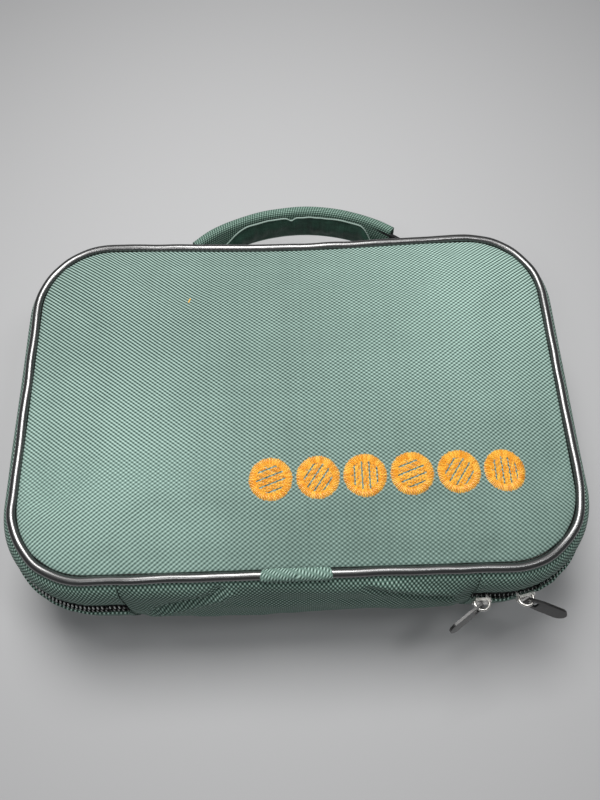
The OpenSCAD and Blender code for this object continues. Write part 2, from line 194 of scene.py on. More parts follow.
def round_uv(bm, section, turned):
    """The UV map of a bar: length along it, and length round its section, turned by a matrix."""
    spots, run = {}, 0.0
    for a, b in zip(section, section[1:] + section[:1]):
        spots[round(a[0] / MM, 4), round(a[1] / MM, 4)] = run
        run += (Vector(b) - Vector(a)).length
    layer = bm.loops.layers.uv.new("cloth")
    for face in bm.faces:
        sides = [spots[round(v.co.y / MM, 4), round(v.co.z / MM, 4)] for v in face.verts]
        across = max(sides) - min(sides) > run / 2
        for loop, side in zip(face.loops, sides):
            if across and side < run / 2:
                side += run
            loop[layer].uv = turned @ Vector((loop.vert.co.x, side))


def lay_uv(bm, flat):
    """Keeps the flat place of each vertex, in metres, as the UV map that the weave follows."""
    layer = bm.loops.layers.uv.get("cloth") or bm.loops.layers.uv.new("cloth")
    for face in bm.faces:
        for loop in face.loops:
            loop[layer].uv = flat(loop.vert.co)


def band(section, start, end, pitch, caps=True, bias=0.0):
    """A straight bar with this section of (out, up) places, from one length along the wall to another."""
    bm = bmesh.new()
    edges = draw(bm, [(start, out, up) for out, up in section], True)
    steps = max(1, round((end - start) / pitch))
    last = pull(bm, edges, Vector(((end - start) / steps, 0, 0)), steps)
    if caps:
        close_ends(bm, (edges, last))
    round_uv(bm, section, Matrix.Rotation(bias, 2))
    return bm


def wrap(bm):
    """Moves every vertex from (along, out, up) on to the wall."""
    for v in bm.verts:
        v.co = settle(on_wall(*v.co))
    return bm


def skin(thick, low, high, rows, hem_low=0.0, hem_high=0.0, lift=0.0):
    """Section of a band of cloth between two heights, outer skin first, with rounded hems."""
    ups = [low + (high - low) * i / rows for i in range(rows + 1)]
    outer = [(lift, up) for up in ups]
    inner = [(lift - thick, up) for up in reversed(ups)]
    near, far = lift - thick * 0.3, lift - thick * 0.8
    round_low = [(far, low - hem_low), (near, low - hem_low)] if hem_low else []
    round_high = [(near, high + hem_high), (far, high + hem_high)] if hem_high else []
    return outer + round_high + inner + round_low


# %% [markdown]
# Every finished piece goes through one function. It turns the faces outwards, marks the edges that
# are really sharp, makes the object with its finish, hides the imported nodes that it stands for,
# and hangs it from the body that carries it.

# %% Finish a piece
SHARP = math.radians(50)


def add_object(name, data):
    """A new object in the scene, for a mesh, a lamp or a camera."""
    obj = bpy.data.objects.new(name, data)
    bpy.context.scene.collection.objects.link(obj)
    return obj


def crisp(bm):
    """Smooth faces, with a sharp edge wherever two faces meet at more than the angle SHARP."""
    for face in bm.faces:
        face.smooth = True
    for edge in bm.edges:
        edge.smooth = len(edge.link_faces) != 2 or edge.calc_face_angle(0) < SHARP


def piece(name, bm, material, body=None, replaces=(), keep_normals=False):
    """Makes one object of the mesh, hides the imported nodes it stands for, and hangs it from its body."""
    if not keep_normals:
        bmesh.ops.recalc_face_normals(bm, faces=bm.faces)
    crisp(bm)
    mesh = bpy.data.meshes.new(name)
    bm.to_mesh(mesh)
    bm.free()
    mesh.materials.append(material)
    obj = add_object(name, mesh)
    if replaces:
        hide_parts(*replaces)
    if body:
        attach(obj, body)
    return obj


def count(obj):
    """Prints how many faces a piece has."""
    print(obj.name, len(obj.data.polygons), "faces")
    return obj


# %% [markdown]
# The camera looks steeply down from over the near edge. Its place and turn were worked out from
# the straight edges of the case in the photograph, for a frame 600 wide and 800 high.

# %% Camera
EYE = (0.0010, -0.1024, 0.3384)
TURNS = ((-1.05, "Z"), (20.83, "X"), (-0.79, "Z"))
LENS = 27.9

camera = add_object("camera", bpy.data.cameras.new("camera"))
camera.data.sensor_width = 36
camera.data.lens = LENS
camera.data.clip_start = 0.01
view = Matrix.Translation(EYE)
for degrees, axis in TURNS:
    view = view @ Matrix.Rotation(math.radians(degrees), 4, axis)
camera.matrix_world = view
bpy.context.scene.camera = camera
print("camera %.0f mm above the floor" % (EYE[2] / MM))

# %% [markdown]
# One soft lamp hangs above the far half of the lid, close enough for the light to fall away
# towards the near edge. Two weaker lamps hang to its left and its right, nearer to the zip. Their
# reflections run together into the one bright line on the piping. The world fills the rest.

# %% Light, world and floor
def lamp(name, place, aim, size, watts, colour=(1, 1, 1)):
    """A square area lamp at a place, turned to a point."""
    data = bpy.data.lights.new(name, "AREA")
    data.size, data.energy, data.color = size, watts, colour
    turn = (Vector(aim) - Vector(place)).to_track_quat("-Z", "Y")
    add_object(name, data).matrix_world = Matrix.Translation(place) @ turn.to_matrix().to_4x4()


lamp("softbox", (-0.04, 0.16, 0.59), (0, 0.02, 0.08), 0.24, 3.32, (1, 0.995, 0.98))
lamp("near_light", (-0.15, -0.19, 0.54), (-0.05, -0.04, 0.07), 0.10, 0.30)
lamp("right_light", (0.20, -0.04, 0.56), (0.05, -0.01, 0.07), 0.09, 0.40)
world = bpy.data.worlds.new("studio")
bpy.context.scene.world = world
world.use_nodes = True
sky = world.node_tree.nodes["Background"].inputs
sky["Color"].default_value = (0.9, 0.93, 0.95, 1)
sky["Strength"].default_value = 0.12
bpy.context.scene.view_settings.view_transform = "Standard"

# %% [markdown]
# Every finish is built from nodes. A small helper keeps the node code short: it adds nodes, joins
# sockets, and does arithmetic on whole sockets at a time.

# %% A helper for node trees
def linear(shade):
    """A colour written as three numbers from 0 to 255, as the shader wants it."""
    parts = [c / 255 for c in shade]
    return tuple(c / 12.92 if c < 0.04045 else ((c + 0.055) / 1.055) ** 2.4 for c in parts) + (1,)


class Tree:
    """Adds nodes to a tree. A value may be a number, a colour or another node's socket."""

    def __init__(self, tree):
        self.tree = tree

    def add(self, kind, inputs=(), **settings):
        node = self.tree.nodes.new(kind)
        for name, value in settings.items():
            setattr(node, name, value)
        for name, value in dict(inputs).items():
            self.put(node.inputs[name], value)
        return node

    def put(self, socket, value):
        if isinstance(value, bpy.types.NodeSocket):
            self.tree.links.new(value, socket)
        else:
            socket.default_value = value

    def math(self, operation, a, b=0.0, c=0.0):
        return self.add("ShaderNodeMath", {0: a, 1: b, 2: c}, operation=operation).outputs[0]

    def blend(self, share, a, b):
        node = self.add("ShaderNodeMix", data_type="RGBA")
        for index, value in ((0, share), (6, a), (7, b)):
            self.put(node.inputs[index], value)
        return node.outputs[2]

    def span(self, value, low, high, to_low=0.0, to_high=1.0):
        """The value from low to high, as 0 to 1 or as two other numbers, with an even curve."""
        node = self.add("ShaderNodeMapRange", {"Value": value, "From Min": low, "From Max": high,
                                               "To Min": to_low, "To Max": to_high},
                        interpolation_type="SMOOTHSTEP")
        return node.outputs["Result"]

    def noise(self, vector, scale, detail=2.0, roughness=0.5):
        return self.add("ShaderNodeTexNoise", {"Vector": vector, "Scale": scale, "Detail": detail,
                                               "Roughness": roughness}).outputs

    def split(self, vector):
        return self.add("ShaderNodeSeparateXYZ", {0: vector}).outputs

    def scale(self, vector, by):
        return self.add("ShaderNodeVectorMath", {0: vector, 1: by}, operation="MULTIPLY").outputs[0]

    def group(self, name, inputs):
        return self.add("ShaderNodeGroup", inputs, node_tree=bpy.data.node_groups[name]).outputs


def new_group(name, inputs, outputs):
    """An empty shader group with named sockets, and the helper on it."""
    group = bpy.data.node_groups.new(name, "ShaderNodeTree")
    for label, kind, value in inputs:
        socket = group.interface.new_socket(label, in_out="INPUT", socket_type="NodeSocket" + kind)
        if value is not None:
            socket.default_value = value
    for label, kind in outputs:
        group.interface.new_socket(label, in_out="OUTPUT", socket_type="NodeSocket" + kind)
    t = Tree(group)
    return t, t.add("NodeGroupInput").outputs, t.add("NodeGroupOutput").inputs


# %% [markdown]
# The case is covered with a coarse plain weave. Seen close up, each weft yarn shows as a row of
# bright bumps where it passes over, and as dark pits where it dives under. The product of two
# cosines has just that lattice of peaks and pits, and it is the sum of two sets of diagonal stripes.
# The finishes colour the pits dark, as painted shade, and the bumps pale, as painted highlight.
# On the lid one set is stronger here and the other there, changing slowly across the cloth: this is
# painted light, the way the lamp's reflection picks out the yarns. A slow noise bends the rows a
# little, and every yarn has its own shade.
# The lid's cloth is also painted paler toward its near left and far right corners and a little darker in its
# middle, as painted light and shade.

# %% The weave as a node group
t, given, out = new_group(
    "weave",
    [("Cloth", "Vector", None), ("Warp spacing", "Float", 1.2 * MM), ("Weft spacing", "Float", 0.85 * MM),
     ("Wander", "Float", 0.25 * MM), ("Skew", "Float", 0.0)],
    [("Lift", "Float"), ("Shade", "Float"), ("Fibre", "Float"), ("Painted shading", "Float")])
slow = t.noise(given["Cloth"], 55.0, 2.0)["Color"]
centred = t.add("ShaderNodeVectorMath", {0: slow, 1: (0.5, 0.5, 0.5)}, operation="SUBTRACT").outputs[0]
drift = t.add("ShaderNodeVectorMath", {0: centred, "Scale": given["Wander"]}, operation="SCALE").outputs[0]
cloth = t.add("ShaderNodeVectorMath", {0: given["Cloth"], 1: drift}, operation="ADD").outputs[0]
xyz = t.split(cloth)
warp = t.math("DIVIDE", xyz["X"], given["Warp spacing"])
weft = t.math("DIVIDE", xyz["Y"], given["Weft spacing"])
diagonals = [t.math("COSINE", t.math("MULTIPLY", t.math(way, warp, weft), math.pi))
             for way in ("ADD", "SUBTRACT")]
flat = t.split(given["Cloth"])
# Painted light: on the lid the sine across X and the ramp along Y set which diagonal is stronger, where the
# lamp's reflection picks out one set of yarns or the other.
side = t.math("SINE", t.math("MULTIPLY_ADD", flat["X"], -math.pi / (260 * MM), 0.54))
side = t.math("MULTIPLY", side, t.span(flat["Y"], -55 * MM, -22 * MM, -0.68, 0.68))
patch = t.math("MULTIPLY_ADD", t.noise(given["Cloth"], 14.0, 1.0)["Fac"], 0.4, -0.2)
skew = t.math("MULTIPLY_ADD", side, given["Skew"], patch)
lift = t.math("ADD", t.math("MULTIPLY", diagonals[0], t.math("MULTIPLY_ADD", skew, 0.5, 0.5)),
              t.math("MULTIPLY", diagonals[1], t.math("MULTIPLY_ADD", skew, -0.5, 0.5)))
yarn = [t.add("ShaderNodeTexWhiteNoise", {"W": t.math("ROUND", n)}, noise_dimensions="1D").outputs["Value"]
        for n in (warp, weft)]
cell = t.add("ShaderNodeTexWhiteNoise", {"Vector": t.add("ShaderNodeCombineXYZ", {
    0: t.math("ROUND", warp), 1: t.math("ROUND", weft)}).outputs[0]}, noise_dimensions="2D").outputs["Value"]
shade = t.math("ADD", t.math("MULTIPLY", t.math("ADD", yarn[0], yarn[1]), 0.3), t.math("MULTIPLY", cell, 0.4))
fibre = t.noise(t.scale(cloth, (900, 5200, 0)), 1.0, 1.0)["Fac"]
# Painted light: on the lid the weave's lift, and so its shades and its bumps, spread wider toward the far
# edge.
painted_light = t.math("MULTIPLY_ADD", t.math("MULTIPLY", flat["Y"], given["Skew"]), 1.3, 0.43)
t.put(out["Lift"], t.math("MULTIPLY_ADD", lift, painted_light, 0.5))
t.put(out["Shade"], shade)
t.put(out["Fibre"], fibre)
# Painted light and shade: on the lid the value is raised toward the near left and far right corners and
# lowered in the middle.
across = t.span(flat["X"], -99 * MM, 99 * MM, -1.1, 1.1)
away = t.span(flat["Y"], -60 * MM, 60 * MM, -1.1, 1.1)
slope = t.math("MULTIPLY_ADD", across, 0.16, t.math("MULTIPLY", away, 0.14))
wear_and_painted_shade = t.math("MULTIPLY_ADD", across, slope, -0.07)
t.put(out["Painted shading"], t.math("MULTIPLY", wear_and_painted_shade, given["Skew"]))

# %% [markdown]
# Cloth that has been carried about is never one even colour: it has paler, rubbed areas and duller
# ones that hold dust. One group gives a slow, soft mask for that, and the hard finishes use it for
# smudges and worn places too.

# %% Slow mottling as a node group
t, given, out = new_group("mottle", [("Place", "Vector", None), ("Size", "Float", 0.03)], [("Mask", "Float")])
scaled = t.add("ShaderNodeVectorMath", {0: given["Place"], "Scale": t.math("DIVIDE", 1.0, given["Size"])},
               operation="SCALE").outputs[0]
t.put(out["Mask"], t.span(t.noise(scaled, 1.0, 4.0, 0.55)["Fac"], 0.3, 0.7))


# %% A finish from its parts
THREAD_STEP = 2  # threads are drawn 1 long, and this far apart


def finish(name, build):
    """A material with the nodes of build(tree, shader), which returns the height and depth of bumps."""
    material = bpy.data.materials.new(name)
    material.use_nodes = True
    t = Tree(material.node_tree)
    shader = material.node_tree.nodes["Principled BSDF"]
    relief = build(t, shader.inputs)
    if relief:
        height, depth = relief
        bump = t.add("ShaderNodeBump", {"Height": height, "Strength": 1.0, "Distance": depth})
        t.put(shader.inputs["Normal"], bump.outputs[0])
    return material


def woven(pits, mid, tops, spacing=(1.12, 0.85), depth=0.16, rough=0.72, sheen=0.05, tone=0.16,
          spec=0.22, skew=0.0, patches=35):
    """Builder of a woven finish, from three shades, and its yarn spacing and patches in millimetres."""
    pits, mid, tops = map(linear, (pits, mid, tops))
    warp, weft = spacing[0] * MM, spacing[1] * MM

    def build(t, shader):
        place = t.add("ShaderNodeUVMap", uv_map="cloth").outputs[0]
        weave = t.group("weave", {"Cloth": place, "Warp spacing": warp, "Weft spacing": weft,
                                  "Wander": 0.3 * warp, "Skew": skew})
        around = t.add("ShaderNodeTexCoord").outputs["Object"]
        mottle = t.group("mottle", {"Place": around, "Size": patches * MM})["Mask"]
        # Painted shade and highlight: the pits of the lattice are coloured dark and its tops pale.
        low = t.blend(t.span(weave["Lift"], 0.08, 0.42), pits, mid)
        colour = t.blend(t.span(weave["Lift"], 0.5, 0.92), low, tops)
        vary = t.math("ADD", t.math("MULTIPLY", weave["Shade"], tone),
                      t.math("MULTIPLY", mottle, tone * 0.6))
        level = t.math("ADD", t.math("ADD", vary, 1 - tone * 0.8), weave["Painted shading"])
        value = t.add("ShaderNodeHueSaturation", {"Value": level, "Color": colour}).outputs[0]
        t.put(shader["Base Color"], value)
        t.put(shader["Roughness"], t.math("MULTIPLY_ADD", weave["Fibre"], 0.15, rough))
        shader["Sheen Weight"].default_value = sheen
        shader["Sheen Roughness"].default_value = 0.4
        shader["Specular IOR Level"].default_value = spec
        height = t.math("MULTIPLY_ADD", weave["Fibre"], 0.12, weave["Lift"])
        return height, depth * MM
    return build


def coated(colour, wear_and_painted_shade, rough=(0.3, 0.5), grain=(2500.0, 0.02), metal=0.0, coat=0.0, spec=0.5,
           coat_rough=0.1, coat_ior=1.5):
    """Builder of a plain moulded, painted or plated finish, with a fine grain and worn patches."""
    colour, wear_and_painted_shade = map(linear, (colour, wear_and_painted_shade))

    def build(t, shader):
        place = t.add("ShaderNodeTexCoord").outputs["Object"]
        mottle = t.group("mottle", {"Place": place, "Size": 0.012})["Mask"]
        fine = t.noise(place, grain[0], 3.0)["Fac"]
        share = t.math("MULTIPLY", mottle, t.span(fine, 0.35, 0.75))
        t.put(shader["Base Color"], t.blend(share, colour, wear_and_painted_shade))
        t.put(shader["Roughness"], t.math("MULTIPLY_ADD", mottle, rough[1] - rough[0], rough[0]))
        shader["Metallic"].default_value = metal
        shader["Coat Weight"].default_value = coat
        shader["Coat Roughness"].default_value = coat_rough
        shader["Coat IOR"].default_value = coat_ior
        shader["Specular IOR Level"].default_value = spec
        return fine, grain[1] * MM
    return build


def thread(dark, light, rough):
    """Builder of a sewing thread: each stitch has its own shade, and its plies twist round each other."""
    dark, light = map(linear, (dark, light))

    def build(t, shader):
        along = t.split(t.add("ShaderNodeUVMap", uv_map="cloth").outputs[0])
        number = t.math("FLOOR", t.math("DIVIDE", along["X"], THREAD_STEP * MM))
        shade = t.add("ShaderNodeTexWhiteNoise", {"W": number}, noise_dimensions="1D").outputs["Value"]
        t.put(shader["Base Color"], t.blend(shade, dark, light))
        shader["Roughness"].default_value = rough
        shader["Sheen Weight"].default_value = 0.1
        plies = t.math("MULTIPLY_ADD", along["X"], 14 / MM, t.math("DIVIDE", along["Y"], MM / 2))
        return t.math("SINE", plies), 0.05 * MM
    return build


# %% [markdown]
# The finishes of the case: grey green polyester outside, with copies painted darker as shade for the
# wall and the grip, a smoother dark green inside the handle, black binding, tape, lining and webbing,
# black moulded piping with a shine, nylon coils, nickel sliders with black pulls, and orange thread.

# %% The finishes
outer_cloth = finish("outer_cloth", woven((30, 47, 41), (110, 134, 126), (167, 193, 184), skew=1.0))
# Painted shade: the wall's copy of the case's cloth is darker than the lid's, in its pits and its middle
# shade.
wall_cloth = finish("wall_cloth", woven((5, 13, 10), (84, 112, 101), (184, 212, 201),
                                        spacing=(0.92, 1.25), depth=0.24))
tab_cloth = finish("tab_cloth", woven((40, 60, 53), (106, 132, 122), (176, 204, 194),
                                      spacing=(2.6, 0.62), depth=0.14))
# Painted shade: the grip's copy of the case's cloth is darker than the lid's too.
grip_cloth = finish("grip_cloth", woven((8, 20, 16), (82, 108, 97), (164, 192, 180),
                                        spacing=(1.05, 0.85), depth=0.2))
smooth_cloth = finish("smooth_cloth", woven((24, 48, 40), (48, 78, 66), (76, 108, 95), spacing=(0.5, 0.35),
                                            depth=0.03, rough=0.5, sheen=0.2, tone=0.8, spec=0.2, patches=11))
black_binding = finish("black_binding", woven((8, 8, 9), (24, 24, 26), (38, 38, 41), spacing=(0.9, 0.5),
                                              depth=0.05, rough=0.6, sheen=0.15))
zip_tape = finish("zip_tape", woven((8, 8, 9), (22, 22, 24), (34, 34, 36), spacing=(1.1, 0.6),
                                    depth=0.06, rough=0.7, sheen=0.15))
black_webbing = finish("black_webbing", woven((6, 6, 7), (20, 20, 22), (36, 36, 39), spacing=(1.6, 0.9),
                                              depth=0.15, rough=0.6, sheen=0.2))
lining_cloth = finish("lining_cloth", woven((14, 15, 16), (30, 31, 33), (44, 46, 48), spacing=(0.6, 0.5),
                                            depth=0.03, rough=0.55, sheen=0.2))
pale_hem = finish("pale_hem", woven((100, 120, 112), (150, 170, 162), (186, 204, 196), spacing=(0.5, 0.4),
                                    depth=0.04, rough=0.6, sheen=0.2))
black_thread = finish("black_thread", thread((10, 10, 11), (34, 34, 36), rough=0.55))
orange_thread = finish("orange_thread", thread((228, 148, 30), (255, 196, 74), rough=0.38))
green_thread = finish("green_thread", thread((76, 102, 92), (118, 144, 134), rough=0.5))
foam_block = finish("foam_block", coated((196, 194, 186), (150, 148, 140), rough=(0.85, 0.95),
                                         grain=(1800.0, 0.25)))
black_piping = finish("black_piping", coated((4, 4, 5), (9, 9, 10), rough=(0.36, 0.44), grain=(900.0, 0.015),
                                             coat=1.0, spec=1.0, coat_rough=0.27, coat_ior=2.0))
nickel = finish("nickel", coated((238, 236, 232), (190, 187, 180), rough=(0.16, 0.36),
                                 grain=(1600.0, 0.02), metal=1.0))
black_pull = finish("black_pull", coated((16, 16, 17), (52, 50, 48), rough=(0.25, 0.45),
                                         grain=(1200.0, 0.02), spec=0.8))
hard_board = finish("hard_board", coated((112, 96, 74), (90, 76, 58), rough=(0.7, 0.85),
                                         grain=(1500.0, 0.05)))
tray_plastic = finish("tray_plastic", coated((26, 26, 28), (44, 44, 46), rough=(0.45, 0.6),
                                             grain=(1400.0, 0.06)))
steel = finish("steel", coated((168, 170, 172), (120, 120, 120), rough=(0.28, 0.46),
                               grain=(1400.0, 0.015), metal=1.0))
boxwood = finish("boxwood", coated((206, 164, 104), (176, 130, 74), rough=(0.45, 0.6),
                                   grain=(900.0, 0.03)))
print(len(bpy.data.materials), "materials so far")

# %% [markdown]
# The lid is a padded panel: a woven cover over foam, sewn down all round. Its grid starts as a
# square, and each square ring is moved on to a smaller copy of the case's outline, so that the
# rows run along the seam. The cloth simulator then blows the cover up gently while its edge is
# held, with a little more cloth than the outline needs, so that it puckers at the piping as sewn
# cloth does. How far a point may move is capped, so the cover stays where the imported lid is.

# %% Panels that fill the outline
CELLS = (84, 56)
CROWN = 7.5 * MM


def on_outline(x, y, out):
    """Moves a point of the square from -1 to 1 on to the rounded panel whose edge is moved out."""
    ring = max(abs(x), abs(y))
    if ring == 0:
        return Vector((0, 0)), 0.0
    half = Vector((HALF_W + out, HALF_D + out))
    r = CORNER_R + out
    edge = Vector((abs(x) * half.x, abs(y) * half.y)) / ring
    over = edge - half + Vector((r, r))
    if over.x > 0 and over.y > 0:
        first = abs(x) >= abs(y)
        share = (over.y if first else over.x) / r * math.pi / 4
        turn = share if first else math.pi / 2 - share
        edge = half - Vector((r, r)) + Vector((math.cos(turn), math.sin(turn))) * r
    return Vector((math.copysign(edge.x, x), math.copysign(edge.y, y))) * ring, ring


def panel(edge_z, out, crown, cells=CELLS, power=4):
    """A sheet over the case's outline that swells in the middle, with its flat place as its UV map."""
    bm = bmesh.new()
    bmesh.ops.create_grid(bm, x_segments=cells[0], y_segments=cells[1], size=1)
    for v in bm.verts:
        flat, ring = on_outline(v.co.x, v.co.y, out)
        v.co = (flat.x, flat.y, edge_z + crown * (1 - ring ** power))
    lay_uv(bm, lambda co: (co.x, co.y))
    for v in bm.verts:
        v.co = settle(v.co)
    return bm


def rim_of(obj):
    """The vertices on the open edge of a sheet."""
    used = {}
    for face in obj.data.polygons:
        for key in face.edge_keys:
            used[key] = used.get(key, 0) + 1
    return sorted({v for key, n in used.items() if n == 1 for v in key})


def inflate(obj, pressure, spare, cap, frames):
    """Blows a sheet up with its edge held, moves no point further than cap, and keeps the result."""
    held = obj.vertex_groups.new(name="sewn")
    held.add(rim_of(obj), 1.0, "REPLACE")
    cloth = obj.modifiers.new("cloth", "CLOTH")
    made = cloth.settings
    made.quality, made.mass = 5, 0.3
    made.tension_stiffness = made.compression_stiffness = 20
    made.shear_stiffness, made.bending_stiffness = 8, 0.8
    made.vertex_group_mass = "sewn"
    made.use_pressure, made.uniform_pressure_force = True, pressure
    made.shrink_min = -spare
    made.effector_weights.gravity = 0
    cloth.point_cache.frame_start, cloth.point_cache.frame_end = 1, frames
    for number in range(1, frames + 1):
        bpy.context.scene.frame_set(number)
    blown = obj.evaluated_get(bpy.context.evaluated_depsgraph_get())
    places = [v.co.copy() for v in blown.data.vertices]
    furthest = 0
    for v, place in zip(obj.data.vertices, places):
        step = place - v.co
        furthest = max(furthest, step.length)
        v.co = v.co + step * min(1, cap / max(step.length, cap))
    obj.modifiers.remove(cloth)
    obj.vertex_groups.remove(held)
    bpy.context.scene.frame_set(1)
    print(obj.name, "blown up by %.2f mm, kept to %.2f mm" % (furthest / MM, min(furthest, cap) / MM))
    return obj


def thicken(obj, thick, levels=0):
    """Gives a sheet its thickness, behind the drawn surface, and rounds it."""
    wall = obj.modifiers.new("thickness", "SOLIDIFY")
    wall.thickness, wall.offset = thick, -1
    if levels:
        rounder = obj.modifiers.new("round", "SUBSURF")
        rounder.levels = rounder.render_levels = levels
    return obj


# %% The lid's cover
SEWN_IN, COVER_RISE = -1.8 * MM, 0.6 * MM
bm = panel(LID_Z + COVER_RISE, SEWN_IN, CROWN - COVER_RISE, power=5.5)
lid_cover = piece("lid_woven_cover", bm, outer_cloth, "lid", ["lid_cover"], keep_normals=True)
inflate(lid_cover, pressure=0.6, spare=0.004, cap=0.8 * MM, frames=20)
thicken(lid_cover, 0.9 * MM, 1)
count(lid_cover)

# %% [markdown]
# Under the cover lie a sheet of foam and the lid's lining, which faces the boules when the lid is
# open. The lining is thin nylon, held only at its edge, so it has slack folds, longer along the
# case than across it. The bottom of the case is a smooth panel that lies on the table.

# %% Foam, lining and bottom
def slacken(bm, height, size, seed, keep_edge, stretch):
    """Lowers and lifts the points of a sheet by a smooth noise, and holds its edge."""
    for v in bm.verts:
        at = Vector([c * s for c, s in zip(v.co, stretch)]) / size + Vector((seed, seed * 0.7, seed * 1.3))
        hold = smooth((1 - max(abs(v.co.x) / HALF_W, abs(v.co.y) / HALF_D)) / keep_edge)
        v.co.z -= height * noise.noise(at) * hold


def add_layer(name, bm, thick, material, body, node):
    """A sheet with its thickness under it."""
    return count(thicken(piece(name, bm, material, body, [node], keep_normals=True), thick))


UNDER_CELLS, UNDER_CROWN = (60, 40), CROWN - 1.2 * MM
bm = panel(LID_Z - 1.1 * MM, SEWN_IN, UNDER_CROWN, UNDER_CELLS)
lid_foam = add_layer("lid_foam_sheet", bm, 2.6 * MM, foam_block, "lid", "lid_foam")
bm = panel(LID_Z - 3.9 * MM, SEWN_IN, UNDER_CROWN, UNDER_CELLS)
slacken(bm, height=0.5 * MM, size=26 * MM, seed=3.1, keep_edge=0.1, stretch=(1, 2.4, 1))
lid_lining = add_layer("lid_lining_sheet", bm, 0.4 * MM, lining_cloth, "lid", "lid_lining")
bm = panel(1.1 * MM, -1.2 * MM, 0.0, (40, 28))
add_layer("bottom_cover", bm, 1.0 * MM, smooth_cloth, "base", "base_cover")

# %% [markdown]
# The wall is made of three bands of the same cloth as the lid: the lid's gusset above the zip, the
# base's gusset below it, and the hinge panel that joins the two on the near side. The edge beside
# the zip is turned under, so it is rounded. The bands pucker near their sewn edges, and beside the
# two sliders they are drawn in and flat, so that the sliders have room.

# %% The gussets
SEAM_GAP = 0.3 * MM
BAND_START, BAND_END = SEAM_X + SEAM_GAP, GIRTH - SEAM_X - SEAM_GAP
ZIP_HALF = 3.4 * MM
HEM_LOW, HEM_HIGH = ZIP_UP - ZIP_HALF, ZIP_UP + ZIP_HALF


def shoulder(up):
    """How far the cloth hangs out over the zip just below the lid's piping."""
    return 1.7 * MM * smooth((up - 20 * MM) / (12 * MM)) * smooth((WALL_END - up) / (5 * MM))


def pucker(bm, low, high, depth, swell, keep_out, lip=0.0):
    """Lets a flat band swell between its edges, and dents it with small folds near its sewn edges."""
    for v in bm.verts:
        along, out, up = v.co
        share = (up - low) / (high - low)
        middle = math.sin(math.pi * min(max(share, 0), 1))
        fine = noise.noise(Vector((along / (5.5 * MM), up / (14 * MM), 1.7)))
        slow = noise.noise(Vector((along / (34 * MM), up / (16 * MM), 5.1)))
        edge = 1 - smooth(min(share, 1 - share) / 0.4)
        near = max(smooth(1 - abs(along - spot) / (9 * MM)) for spot in keep_out)
        v.co.y += (depth * (0.8 * fine * edge + 0.7 * slow) + swell * middle) * (1 - near)
        beside_zip = 1 - smooth((abs(up - ZIP_UP) - ZIP_HALF) / (3.2 * MM))
        v.co.y += (lip * (1 - near) - 0.7 * MM * max(near, lip == 0)) * beside_zip
        v.co.y += shoulder(up)


SLIDERS = (78.3 * MM, RUN_X + math.radians(13.4) * TURN_R)
WALL_T, HEM, SWELL, BAND_STEP = 1.1 * MM, 0.35 * MM, 0.3 * MM, 2.4 * MM
bm = band(skin(WALL_T, HEM_HIGH, WALL_END, 10, hem_low=HEM), BAND_START, BAND_END, BAND_STEP)
pucker(bm, HEM_HIGH, WALL_END, 0.35 * MM, SWELL, SLIDERS)
lid_gusset = count(piece("lid_gusset_band", wrap(bm), wall_cloth, "lid", ["lid_gusset"]))
bm = band(skin(WALL_T, -WALL_END, HEM_LOW, 22, hem_high=HEM), BAND_START, BAND_END, BAND_STEP)
pucker(bm, -WALL_END, HEM_LOW, 0.5 * MM, SWELL, SLIDERS, lip=1.2 * MM)
base_gusset = count(piece("base_gusset_band", wrap(bm), wall_cloth, "base", ["base_gusset"]))

# %% [markdown]
# The hinge panel has no zip to hold it flat. It has been folded often, and in the photograph two
# long valleys run down from the piping, one on each side of the middle. Each valley is a line of
# points on the flat cloth, and the cloth sinks near the line and rises beside it. The panel goes
# from the base to the lid.

# %% The hinge panel and its folds
VALLEYS = [  # places (along, up) in mm, depth in mm and half width in mm
    ([(-31, 37), (-35, 30), (-47, 23), (-62, 14), (-70, 4)], 1.7, 2.3),
    ([(25, 33), (35, 28), (47, 23.5), (62, 20), (71, 15)], 1.7, 2.8),
    ([(-52, -6), (-30, -12), (-6, -10)], 0.7, 5.0),
    ([(4, 12), (22, 4), (44, 2)], 0.6, 5.0)]
PANEL_HALF, SEAM_AT, FOLDS_END = HALF_H / MM, SEAM_X / MM, 38.2


def to_line(place, line):
    """The distance to a chain of points, with a sign for its side, and the share of the chain there."""
    best, side, share = 1e9, 1, 0
    for i, (a, b) in enumerate(zip(line, line[1:])):
        a, step = Vector(a), Vector(b) - Vector(a)
        along = min(max((place - a).dot(step) / step.length_squared, 0), 1)
        away = place - a - step * along
        if away.length < best:
            best, side = away.length, 1 if step.x * away.y - step.y * away.x > 0 else -1
            share = (i + along) / (len(line) - 1)
    return best * side, share


def fold(place):
    """How far the folds lift the cloth of the hinge panel at this place, all in millimetres."""
    height = min(max((place.y / PANEL_HALF + 1) / 2, 0), 1)
    lift = 0.9 * math.sin(math.pi * height) ** 0.6
    lift += 0.9 * noise.noise(Vector((place.x / 26, place.y / 13, 2.2)))
    lift += 0.25 * noise.noise(Vector((place.x / 7, place.y / 9, 8.0)))
    for line, depth, wide in VALLEYS:
        away, share = to_line(place, line)
        strength = depth * smooth(share / 0.12) * smooth((1 - share) / 0.25)
        lift += strength * (0.75 * math.exp(-((away - 1.9 * wide) / (1.2 * wide)) ** 2)
                            - math.exp(-(away / wide) ** 2))
    at_seam = smooth((SEAM_AT - abs(place.x)) / 8)
    at_piping = smooth((FOLDS_END - abs(place.y)) / 4)
    pull_in = -0.5 * (1 - at_seam) * at_piping
    return min(lift * at_seam * at_piping + pull_in, 2.6)


